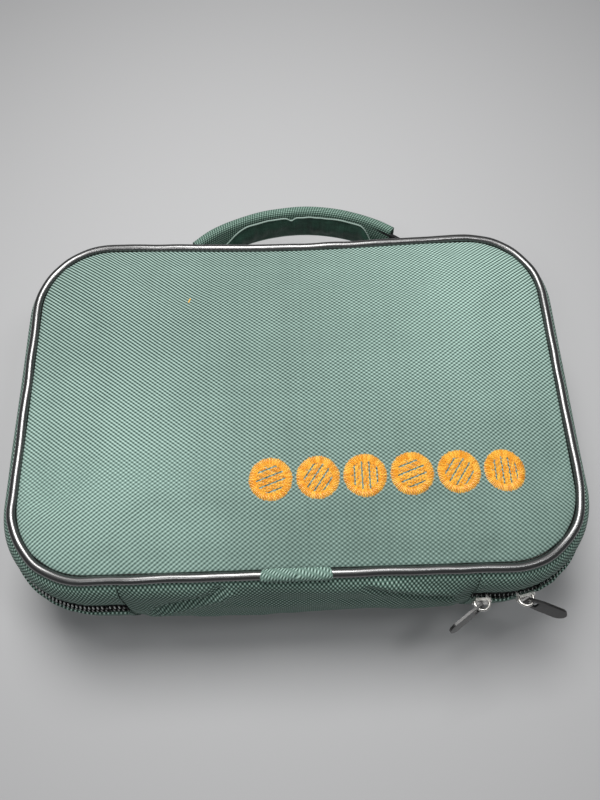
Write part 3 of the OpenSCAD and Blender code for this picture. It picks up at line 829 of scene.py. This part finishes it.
bm = band(skin(0.8 * MM, -WALL_END, WALL_END, 46), -SEAM_X, SEAM_X, 1.6 * MM)
for v in bm.verts:
    v.co.y += fold(Vector((v.co.x / MM, v.co.z / MM))) * MM + shoulder(v.co.z)
hinge_panel = piece("hinge_panel_cloth", wrap(bm), wall_cloth, replaces=["hinge_panel"])
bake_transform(hinge_panel)
count(hinge_panel)

# %% [markdown]
# The piping is a moulded cord that is sewn in along both edges of the wall. The lid's cord is made
# again here, because it follows the soft edge, and it waves a little as a sewn cord does. Where its
# two ends meet, a scrap of the case's cloth is folded over the joint.

# %% Piping and the tabs over its joints
def round_noise(along, size, seed):
    """A smooth noise that meets itself again after one round of the case."""
    turn = math.tau * along / GIRTH
    return noise.noise(Vector((math.cos(turn) * size, math.sin(turn) * size, seed)))


def beside_piping(along, out, z):
    """The point at a distance out of the middle of a piping at this height, along its line."""
    there = on_wall(along, 0.0, 0.0)
    inward = on_wall(along, -BULGE, 0.0)
    away = (there - inward).normalized()
    return Vector((inward.x, inward.y, z)) + away * out


def cord(z, wave):
    """The cord of a piping, once round the case at this height."""
    bm = bmesh.new()
    edges = draw(bm, [(0, out, up) for out, up in ring_section(PIPING_R, 16)], True)
    steps = 300
    pull(bm, edges, Vector((GIRTH / steps, 0, 0)), steps)
    for v in bm.verts:
        along, out, up = v.co
        sway = round_noise(along, 9, z)
        v.co = settle(beside_piping(along, out + wave * sway, z + up + 0.6 * wave * sway))
    return close_round(bm)


count(piece("lid_piping_cord", cord(LID_Z, 0.35 * MM), black_piping, "lid", ["lid_piping"]))


def joint_tab(name, z, flip, body, node):
    """A scrap of cloth folded over the joint of a piping, from the panel's side to the wall's."""
    bm = bmesh.new()
    turns = [math.radians(a) for a in range(-38, 154, 12)]
    outer, inner = 2.95 * MM, 2.08 * MM
    section = [(r * math.cos(a), r * math.sin(a))
               for r, way in ((outer, turns), (inner, turns[::-1])) for a in way]
    start, end, steps = -15 * MM, 13 * MM, 28
    edges = draw(bm, [(start, out, up) for out, up in section], True)
    last = pull(bm, edges, Vector(((end - start) / steps, 0, 0)), steps)
    close_ends(bm, (edges, last))
    turned = Matrix.Rotation(math.radians(-62), 2)
    lay_uv(bm, lambda co: turned @ Vector((co.x, math.atan2(co.z, co.y) * outer)))
    for v in bm.verts:
        along, out, up = v.co
        r, a = math.hypot(out, up), math.atan2(up, out)
        if r > (outer + inner) / 2:
            r += 0.22 * MM * noise.noise(Vector((along / (4 * MM), a * 2.0, z * 40)))
            ends = max(0.0, 1 - min(along - start, end - along) / (2 * MM))
            r -= 0.25 * MM * ends
        along += 0.6 * MM * math.sin(a * 1.5) * (1 if along > 0 else -1)
        v.co = (along, -HALF_D - r * math.cos(a), z + flip * r * math.sin(a))
    return count(piece(name, bm, tab_cloth, body, [node]))


joint_tab("lid_joint_tab", LID_Z, 1, "lid", "lid_piping_tab")
joint_tab("base_joint_tab", FOOT_Z, -1, "base", "base_piping_tab")

# %% [markdown]
# The zip lies in the gap between the gussets. Its two tapes are thin woven bands behind the cloth,
# and each carries one row of coil. A coil is a nylon wire wound into flat loops, which hook into
# the loops of the other row. One loop is turned with spin, then repeated in a straight row, and the
# row is wrapped round the case. The second row is half a loop behind the first, so they mesh.

# %% Zip tapes
CLOSED_RIGHT, CLOSED_LEFT = 106.0 * MM, GIRTH - SEAM_X - 8.3 * MM
TAPE_IN, TAPE_OUT = -2.55 * MM, -1.95 * MM
TAPE_EDGE, TAPE_MIDDLE = 13.0 * MM, 0.6 * MM


def tape(up_way, start, end):
    """One tape of the zip, above the middle of the zip for 1 and below it for -1."""
    low, high = sorted((ZIP_UP + up_way * TAPE_MIDDLE, ZIP_UP + up_way * TAPE_EDGE))
    section = [(TAPE_OUT, low), (TAPE_OUT, (low + high) / 2), (TAPE_OUT, high), (TAPE_IN, high),
               (TAPE_IN, low)]
    return wrap(band(section, start, end, 3.5 * MM))


def merged(parts):
    """Several meshes as one."""
    whole = bmesh.new()
    for part in parts:
        mesh = bpy.data.meshes.new("part")
        part.to_mesh(mesh)
        part.free()
        whole.from_mesh(mesh)
        bpy.data.meshes.remove(mesh)
    return whole


count(piece("lid_tape", tape(1, CLOSED_RIGHT, CLOSED_LEFT), zip_tape, "lid", ["lid_zip_tape"]))
count(piece("base_tape", tape(-1, CLOSED_RIGHT, CLOSED_LEFT), zip_tape, "base", ["base_zip_tape"]))
ends = [tape(way, *span) for way in (1, -1)
        for span in ((BAND_START, CLOSED_RIGHT - 0.3 * MM), (CLOSED_LEFT + 0.3 * MM, BAND_END))]
closed_tape = count(piece("closed_tape", merged(ends), zip_tape, replaces=["closed_zip_tape"]))
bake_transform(closed_tape)

# %% Coils
LOOP = 1.95 * MM
WIRE = 0.45 * MM
COIL_OUT, COIL_WIDE, COIL_DEEP = -0.65 * MM, 3.1 * MM, 2.3 * MM
COIL_MIDDLE = 1.6 * MM
SLANT = 0.32 * LOOP
CREST = COIL_OUT + COIL_DEEP / 2


def nylon_painted_glints(t, shader):
    """Black nylon whose outer crests are coloured near white, a painted glint. The UV map holds how far out
    the wire lies.
    """
    out = t.split(t.add("ShaderNodeUVMap", uv_map="cloth").outputs[0])["Y"]
    place = t.add("ShaderNodeTexCoord").outputs["Object"]
    # Painted glint: the outer crest of each loop is coloured near white.
    painted_light = t.span(out, CREST - 0.85 * MM, CREST - 0.5 * MM)
    t.put(shader["Base Color"], t.blend(painted_light, linear((8, 8, 9)), linear((240, 244, 242))))
    t.put(shader["Roughness"], t.math("MULTIPLY_ADD", t.noise(place, 2000.0)["Fac"], 0.1, 0.28))
    shader["Coat Weight"].default_value = 1.0
    shader["Coat Roughness"].default_value = 0.2


nylon_coil = finish("nylon_coil", nylon_painted_glints)


def coil(up_way, start, end):
    """One row of loops between two lengths along the wall."""
    bm = bmesh.new()
    r = 1 - 2 * WIRE / COIL_DEEP
    ring = draw(bm, [(0, r + 2 * WIRE / COIL_DEEP * x, 2 * WIRE / COIL_WIDE * y)
                     for x, y in ring_section(1, 5)], True)
    verts = list({v for e in ring for v in e.verts})
    bmesh.ops.spin(bm, geom=verts + ring, cent=(0, 0, 0), axis=(1, 0, 0), dvec=(0.1, 0, 0),
                   angle=math.tau, steps=10, use_duplicate=False)
    repeat(bm, int((end - start) / LOOP), 1)
    for v in bm.verts:
        along = start + (v.co.x + (0.5 if up_way < 0 else 0.0)) * LOOP - v.co.z * SLANT
        v.co = (along, COIL_OUT + v.co.y * COIL_DEEP / 2,
                ZIP_UP + up_way * COIL_MIDDLE + v.co.z * COIL_WIDE / 2)
    bmesh.ops.remove_doubles(bm, verts=bm.verts, dist=0.02 * MM)
    # The lower row's painted glint is set lower, so less of its crest is pale.
    glint_shift = 0.3 * MM if up_way < 0 else 0.0
    lay_uv(bm, lambda co: (co.x, co.y - glint_shift))
    return wrap(bm)


count(piece("lid_coil", coil(1, CLOSED_RIGHT, CLOSED_LEFT), nylon_coil, "lid", ["lid_zip_coil"]))
count(piece("base_coil", coil(-1, CLOSED_RIGHT, CLOSED_LEFT), nylon_coil, "base", ["base_zip_coil"]))
ends = [coil(way, *span) for way in (1, -1)
        for span in ((BAND_START, CLOSED_RIGHT - LOOP), (CLOSED_LEFT + LOOP / 2, BAND_END))]
count(piece("closed_coil", merged(ends), nylon_coil, "base", ["closed_zip_coil"]))

# %% [markdown]
# Inside, a black binding covers the raw edges where the lid, its lining and its gusset are sewn
# together, and a nylon lining stands behind the lower wall. Both are bands too.

# %% Binding and lining of the wall
def bound_edge(top, width, thick, out):
    """The binding under the lid's piping, as a rounded band that waves a little."""
    rows = 5
    ups = [top - width * i / rows for i in range(rows + 1)]
    thinner = [0.25 * MM if i in (0, rows) else 0.0 for i in range(rows + 1)]
    outer = [(out + thick - less, up) for less, up in zip(thinner, ups)]
    inner = [(out + less, up) for less, up in zip(thinner, reversed(ups))]
    bm = band(outer + inner, 0, GIRTH, 3 * MM, caps=False)
    for v in bm.verts:
        along, o, z = v.co
        wave = round_noise(along, 22, 0.4)
        v.co = settle(beside_piping(along, o + 0.15 * MM * wave, z + 0.2 * MM * wave))
    return close_round(bm)


bm = bound_edge(top=76.3 * MM, width=6.4 * MM, thick=1.3 * MM, out=-1.75 * MM)
count(piece("lid_binding", bm, black_binding, "lid", ["lid_seam_binding"]))
LINING_LOW, LINING_HIGH = 9.3 * MM - WALL_END, HEM_LOW - 1 * MM
bm = band(skin(0.45 * MM, LINING_LOW, LINING_HIGH, 16, lift=-2.75 * MM), 0, GIRTH, 4 * MM, caps=False)
for v in bm.verts:
    share = (v.co.z - LINING_LOW) / (LINING_HIGH - LINING_LOW)
    slack = math.sin(math.pi * min(max(share, 0), 1))
    v.co.y += 0.3 * MM * slack * round_noise(v.co.x, 16, v.co.z / (20 * MM))
count(piece("base_lining_band", close_round(wrap(bm)), lining_cloth, "base", ["base_lining"]))

# %% [markdown]
# The handle is a webbing strap inside a padded sleeve. The sleeve is the same woven cloth, folded
# round the padding, and its inner side is faced with a smooth dark cloth whose edge is hemmed. The
# hem runs high at the middle of the grip and falls to the lower edge near both ends. The handle
# also leans a little to the right, because it isn't stiff, so its pieces go through one more move.

# %% The line of the handle
ARCH_Y, HANDLE_Z, ARCH_R = 28.45 * MM, 41 * MM, 93.3 * MM
SLEEVE_T, SLEEVE_H = 7.5 * MM, 20 * MM
GRIP_TURN = math.radians(36)
GRIP_HALF = ARCH_R * GRIP_TURN
LEAN = math.radians(3.0)
LEAN_SHIFT, LEAN_Y = 3.2 * MM, 94 * MM
LEAN_FULL, LEAN_FADE = 58 * MM, 12 * MM


def lean(co):
    """A point of the handle after the grip has leaned over. The sewn ends stay where they are."""
    pivot = Vector((0, LEAN_Y, co.z))
    there = Matrix.Rotation(LEAN, 3, "Z") @ (co - pivot) + pivot + Vector((LEAN_SHIFT, 0, 0))
    return co.lerp(there, 1 - smooth((abs(co.x) - LEAN_FULL) / LEAN_FADE))


def on_arch(along, out, up):
    """The point at these lengths along the grip, out from its middle line, and up."""
    turn = along / ARCH_R
    r = ARCH_R + out
    return lean(Vector((r * math.sin(turn), ARCH_Y + r * math.cos(turn), HANDLE_Z + up)))


def soft_box(thick, high, r, corner=4, flat=3):
    """A rectangle with round corners as (out, up) places, with points along its sides too."""
    x, y = thick / 2 - r, high / 2 - r
    points = []
    for n, (cx, cy) in enumerate(((x, y), (-x, y), (-x, -y), (x, -y))):
        for i in range(corner + 1):
            a = math.pi / 2 * (n + i / corner)
            points.append(Vector((cx + r * math.cos(a), cy + r * math.sin(a))))
        nx, ny = ((-x, y), (-x, -y), (x, -y), (x, y))[n]
        a = math.pi / 2 * (n + 1)
        end = Vector((nx + r * math.cos(a), ny + r * math.sin(a)))
        steps = flat * (2 if n % 2 else 1)
        points += [points[-1].lerp(end, i / steps) for i in range(1, steps)]
    return points


# %% The padded sleeve
bm = band(soft_box(SLEEVE_T, SLEEVE_H, 2.9 * MM, 5, 4), -GRIP_HALF, GRIP_HALF, 1.6 * MM, caps=False,
          bias=math.radians(38))
for v in bm.verts:
    along, out, up = v.co
    end = smooth((abs(along) / GRIP_HALF - 0.8) / 0.2)
    dent = noise.noise(Vector((along / (13 * MM), up / (9 * MM), out / (6 * MM) + 3)))
    fine = noise.noise(Vector((along / (5 * MM), up / (6 * MM), out / (4 * MM) + 9)))
    grow = 1 + 0.05 * dent + 0.02 * fine - 0.3 * smooth(up / (9 * MM))
    v.co = on_arch(along, out * grow * (1 - 0.10 * end), up * (1 + 0.02 * dent) * (1 - 0.05 * end))
sleeve = piece("grip_sleeve", bm, grip_cloth, "handle", ["handle_sleeve"])
thicken(sleeve, 0.85 * MM)
count(sleeve)
bm = band(soft_box(2.8 * MM, 16 * MM, 1.3 * MM, 3, 2), -GRIP_HALF + 1.2 * MM, GRIP_HALF - 1.2 * MM, 3 * MM)
for v in bm.verts:
    along, out, up = v.co
    v.co = on_arch(along, (out + 0.6 * MM) * (1 - 0.35 * smooth(up / (8 * MM))), up)
padding = piece("grip_padding", bm, foam_block, "handle", ["handle_padding"])


# %% The facing of the grip and its hem
def hem_height(along):
    """Height of the facing's upper edge: high in the middle, low at both ends, with a pinch."""
    x = along / MM
    fall = smooth((x - 40) / 13) if x > 0 else smooth((-x - 25) / 30)
    pinch = 2.4 * math.exp(-((x + 0.5) / 2.0) ** 2)
    wave = 0.45 * noise.noise(Vector((x / 5, 0.5, 0.5)))
    return (7.6 - 14.6 * fall - pinch + wave) * MM


FACING_LOW, FACING_OUT = -8.3 * MM, -SLEEVE_T / 2 - 0.15 * MM
FACING_SPAN = (-54 * MM, 53 * MM)
bm = band([(0, i / 12) for i in range(13)] + [(-1, 1 - i / 12) for i in range(13)], *FACING_SPAN, 1.2 * MM)
for v in bm.verts:
    along, side, share = v.co
    top = max(hem_height(along), FACING_LOW + 0.5 * MM)
    fold_size = 1.5 * noise.noise(Vector((along / (4.5 * MM), share * 1.0, 4.4)))
    fold_size += 1.0 * noise.noise(Vector((along / (11 * MM), share * 2.5, 7.7)))
    belly = math.sin(math.pi * share)
    out = FACING_OUT - (0.9 + fold_size) * MM * belly - 0.45 * MM * (1 if side < 0 else 0)
    v.co = (along, out, FACING_LOW + (top - FACING_LOW) * share)
lay_uv(bm, lambda co: (co.x, co.z))
for v in bm.verts:
    v.co = on_arch(*v.co)
count(piece("grip_facing", bm, smooth_cloth, "handle", ["handle_lining"]))
bm = band(ring_section(0.42 * MM, 6), *FACING_SPAN, 1.0 * MM)
lower = band(ring_section(0.35 * MM, 6), *FACING_SPAN, 1.6 * MM)
for mesh, high in ((bm, True), (lower, False)):
    for v in mesh.verts:
        along, out, up = v.co
        edge = max(hem_height(along), FACING_LOW) if high else FACING_LOW
        v.co = on_arch(along, FACING_OUT - 0.3 * MM + out, edge + up)
count(piece("grip_hem", merged([bm, lower]), pale_hem, "handle"))

# %% [markdown]
# The strap runs through the sleeve, bends out of both of its ends and lies flat on the wall, where it
# is sewn down with a box of stitches.

# %% The webbing strap
STRAP_T, STRAP_W = 1.8 * MM, 14.5 * MM
STRAP_R = ARCH_R - SLEEVE_T / 2 + 1.9 * MM
SEWN_X, SEWN_Y, SEWN_LONG, BEND = 86.1 * MM, 92.2 * MM, 14 * MM, 6 * MM


def strap_line():
    """The strap's middle line from the top of the arch to its sewn end."""
    turns = [GRIP_TURN * i / 20 for i in range(21)]
    line = [Vector((STRAP_R * math.sin(a), ARCH_Y + STRAP_R * math.cos(a))) for a in turns]
    a, b = line[-1], Vector((SEWN_X - SEWN_LONG, SEWN_Y))
    hold = (a, a + BEND * Vector((math.cos(GRIP_TURN), -math.sin(GRIP_TURN))), b - Vector((BEND, 0)), b)
    for i in range(1, 13):
        t = i / 12
        line.append(hold[0] * (1 - t) ** 3 + hold[1] * 3 * t * (1 - t) ** 2
                    + hold[2] * 3 * t * t * (1 - t) + hold[3] * t ** 3)
    return line + [b.lerp(Vector((SEWN_X, SEWN_Y)), i / 6) for i in range(1, 7)]


half_line = strap_line()
lengths = [0.0]
for a, b in zip(half_line, half_line[1:]):
    lengths.append(lengths[-1] + (b - a).length)
STRAP_HALF = lengths[-1]
print("strap %.0f mm long between its sewn ends' tips" % (2 * STRAP_HALF / MM))


def on_strap(along, out, up):
    """The point at these lengths along the strap, out from its middle, and up."""
    far = min(abs(along), STRAP_HALF - 1e-9)
    i = max(k for k, s in enumerate(lengths[:-1]) if s <= far)
    a, b = half_line[i], half_line[i + 1]
    spot = a.lerp(b, (far - lengths[i]) / (b - a).length)
    before = half_line[max(i - 1, 0)]
    after = half_line[min(i + 2, len(half_line) - 1)]
    way = (after - before).normalized()
    x, y = spot + Vector((-way.y, way.x)) * out
    return lean(Vector((math.copysign(x, along), y, HANDLE_Z + up)))


bm = band(soft_box(STRAP_T, STRAP_W, 0.6 * MM, 2, 5), -STRAP_HALF, STRAP_HALF, 1.5 * MM)
for v in bm.verts:
    along, out, up = v.co
    far = abs(along)
    loose = smooth((far - GRIP_HALF) / (6 * MM)) * smooth((STRAP_HALF - SEWN_LONG - far) / (6 * MM))
    cup = 0.35 * MM * loose * math.cos(math.pi * up / STRAP_W)
    v.co = on_strap(along, out + cup, up)
strap = piece("webbing_strap", bm, black_webbing, replaces=["handle_webbing"])
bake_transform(strap)
count(strap)

# %% [markdown]
# A stitch is a short bent thread whose ends dive into the cloth. One is made, repeated, and each
# copy is laid between its own two points on the surface that lies there. Rows of them hold the hems
# beside the zip, the side seams of the hinge panel and the two ends of the strap.

# %% Stitches
STITCH_PITCH, STITCH_LONG = 3.3 * MM, 2.7 * MM


def surface_of(obj):
    """A piece as it is rendered, for asking where its surface lies."""
    return BVHTree.FromObject(obj, bpy.context.evaluated_depsgraph_get())


def threads(number, sides, spans):
    """Straight threads of length and radius 1, in a row along X."""
    bm = bmesh.new()
    edges = draw(bm, [(0, y, z) for y, z in ring_section(1, sides)], True)
    last = pull(bm, edges, Vector((1 / spans, 0, 0)), spans)
    close_ends(bm, (edges, last))
    repeat(bm, number, THREAD_STEP)
    lay_uv(bm, lambda co: (co.x * MM, math.atan2(co.z, co.y) * MM))
    return bm


def which_thread(x):
    """The number of the thread that is at this place of the row, and how far along it the place is."""
    number = int((x + 0.01) / THREAD_STEP)
    return number, x - THREAD_STEP * number


def sew(stitches, surface, radius, dive=0.3 * MM, wide=1.15, spans=4):
    """Threads laid on a surface. Each stitch is its start, its end and the direction away from the cloth."""
    bm = threads(len(stitches), 5, spans)
    rings = {}
    for v in bm.verts:
        i, share = which_thread(v.co.x)
        key = (i, round(share * spans))
        if key not in rings:
            start, end, out = stitches[i]
            spot = start.lerp(end, share)
            hit, normal = surface.ray_cast(spot + out * 6 * MM, -out, 14 * MM)[:2]
            if hit is None:
                hit, normal = spot, out
            across = normal.cross(end - start).normalized()
            sunk = dive * (abs(2 * share - 1) ** 3)
            rings[key] = hit + normal * (0.45 * radius - sunk), across, normal
        middle, across, normal = rings[key]
        v.co = middle + across * v.co.y * radius * wide + normal * v.co.z * radius
    return bm


def steps_of(start, end):
    """Where each stitch of a row starts and ends, between two lengths."""
    starts = [start + i * STITCH_PITCH for i in range(int((end - start) / STITCH_PITCH))]
    return [(a, a + STITCH_LONG) for a in starts]


def outward(along, up):
    """The direction out of the wall at a place on it."""
    return (on_wall(along, 1 * MM, up) - on_wall(along, 0, up)).normalized()


def along_wall(start, end, up):
    """Stitches of a row that follows the wall at one height."""
    return [(on_wall(a, 0, up), on_wall(b, 0, up), outward((a + b) / 2, up))
            for a, b in steps_of(start, end)]


def up_wall(along, low, high):
    """Stitches of a row that climbs the wall."""
    return [(on_wall(along, 0, a), on_wall(along, 0, b), outward(along, a)) for a, b in steps_of(low, high)]


for name, obj, body, hem, low, high in (
        ("lid_hem_stitches", lid_gusset, "lid", HEM_HIGH + 2.3 * MM, HEM_HIGH + 4 * MM, WALL_END - 4 * MM),
        ("base_hem_stitches", base_gusset, "base", HEM_LOW - 2.3 * MM, 4 * MM - WALL_END, HEM_LOW - 4 * MM)):
    seams = along_wall(BAND_START + 1 * MM, BAND_END - 1 * MM, hem)
    seams += up_wall(BAND_START + 2 * MM, low, high) + up_wall(BAND_END - 2 * MM, low, high)
    count(piece(name, sew(seams, surface_of(obj), 0.2 * MM), green_thread, body))

# %% Stitches of the strap's ends
BOX = 10.5 * MM
seams = []
for side in (-1, 1):
    middle = Vector((side * (SEWN_X - SEWN_LONG / 2), SEWN_Y, HANDLE_Z))
    corners = [middle + Vector((x * BOX / 2, 0, z * BOX / 2))
               for x, z in ((-1, -1), (1, -1), (1, 1), (-1, 1))]
    for a, b in ((0, 1), (1, 2), (2, 3), (3, 0), (0, 2), (1, 3)):
        way = corners[b] - corners[a]
        number = max(3, round(way.length / STITCH_LONG))
        for i in range(number):
            seams.append((corners[a] + way * ((i + 0.08) / number), corners[a] + way * ((i + 0.92) / number),
                          Vector((0, 1, 0))))
count(piece("strap_stitches", sew(seams, surface_of(strap), 0.2 * MM), black_thread, "base"))

# %% [markdown]
# The webbing inside the sleeve has begun to fray, and black threads stick out of the sleeve's ends.
# Each one is a straight thread that is laid along a short curve of its own.

# %% Frayed threads
FRAYED = 70
bm = threads(2 * FRAYED, 4, 4)
for v in bm.verts:
    i, t = which_thread(v.co.x)
    side = 1 if i < FRAYED else -1
    r = [noise.noise(Vector((i * 1.37, k * 5.3, 0.5))) for k in range(5)]
    along = GRIP_HALF - 1 * MM + (3.0 + 3.2 * r[0]) * MM * t
    out = (-1.9 + 3.0 * r[1] + 3.0 * r[2] * t - 0.9 * t * t) * MM
    up = (9.0 * r[3] + 4.5 * r[4] * t - 0.8 * t * t) * MM
    v.co = on_arch(side * along, out, up) + Vector((0, v.co.y, v.co.z)) * 0.13 * MM
count(piece("frayed_threads", bm, black_thread, "handle"))

# %% [markdown]
# The lid carries orange embroidery at its lower right, a row of plain discs. A disc has a rim of
# short threads laid side by side like spokes, which is satin stitch, and rows of fill inside it.
# Every few rows one is left out, so the disc has lines across it like the grooves of a boule.

# %% Embroidery
DISC_R, DISC_PITCH, THREAD_R = 9.2 * MM, 19.6 * MM, 0.36 * MM
ROW, FILL_LONG = 0.62 * MM, 3.1 * MM
RIM_IN, FILL_R, SPOKES = 0.64 * DISC_R, 0.70 * DISC_R, 74


def disc(middle, turn):
    """The stitches of one embroidered disc."""
    found = []
    for i in range(SPOKES):
        a = math.tau * i / SPOKES
        way = Vector((math.cos(a), math.sin(a), 0))
        stray = 0.3 * MM * noise.noise(Vector((i * 1.7, middle.x * 900, 3.3)))
        found.append((middle + way * (RIM_IN + stray), middle + way * (DISC_R + stray)))
    rows_of = int(FILL_R / ROW)
    flat, tall = Vector((math.cos(turn), math.sin(turn), 0)), Vector((-math.sin(turn), math.cos(turn), 0))
    for k in range(-rows_of, rows_of + 1):
        if k % 5 == 2:
            continue
        y = k * ROW
        half = math.sqrt(FILL_R ** 2 - y ** 2)
        x = -half
        step = FILL_LONG - (k % 3) * 1.0 * MM
        while x < half - 0.2 * MM:
            end = min(x + step, half)
            if end + 0.8 * MM > half:
                end = half
            found.append((middle + flat * x + tall * y, middle + flat * end + tall * y))
            x, step = end, FILL_LONG
    return [(a, b, Vector((0, 0, 1))) for a, b in found]


stitches = []
for n in range(6):
    x = -10.5 * MM + n * DISC_PITCH
    stitches += disc(Vector((x, -41.3 * MM + 0.012 * x, LID_Z + CROWN)), math.radians(20 + 35 * (n % 3)))
lid_surface = surface_of(lid_cover)
count(piece("embroidered_discs", sew(stitches, lid_surface, THREAD_R, 0.5 * MM, 0.95, spans=5), orange_thread,
            "lid"))
print(len(stitches), "stitches in six discs")
fleck = [(Vector((-47.3, 43.2, 86.5)) * MM, Vector((-46.6, 45.6, 86.5)) * MM, Vector((0, 0, 1)))]
count(piece("lint_fleck", sew(fleck, lid_surface, 0.3 * MM, 0.1 * MM), orange_thread, "lid"))

# %% [markdown]
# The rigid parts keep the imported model's own meshes, and only their finishes change: turned steel
# for the boules, turned wood for the jack, formed plastic for the tray, plated metal for the
# sliders and a worn black coat on the pull tabs.

# %% Finishes of the rigid parts
rigid = {"jack": boxwood, "tray": tray_plastic, "jack_cups": tray_plastic, "slider_a": nickel,
         "slider_b": nickel, "pull_tab_a": black_pull, "pull_tab_b": black_pull, "base_board": hard_board,
         "base_piping": black_piping}
rigid.update({"boule_%d" % n: steel for n in range(1, 7)})
for node, material in rigid.items():
    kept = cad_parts[node]
    kept.data.materials.clear()
    kept.data.materials.append(material)
print(len(rigid), "rigid parts have their finishes")

# %% [markdown]
# The floor is scenery for the pictures, and isn't part of the case. The last cell prints how far the
# dressed case reaches.

# %% Floor
def matt_grey(_, shader):
    """An even pale grey."""
    shader["Base Color"].default_value = (0.52, 0.52, 0.53, 1)
    shader["Roughness"].default_value = 0.8


bm = bmesh.new()
bmesh.ops.create_grid(bm, x_segments=1, y_segments=1, size=3)
mesh = bpy.data.meshes.new("floor")
bm.to_mesh(mesh)
bm.free()
mesh.materials.append(finish("floor", matt_grey))
floor = add_object("floor", mesh)
floor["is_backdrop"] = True

# %% Size and finish
low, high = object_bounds()
print("dressed:", [round(c, 4) for c in low], [round(c, 4) for c in high])
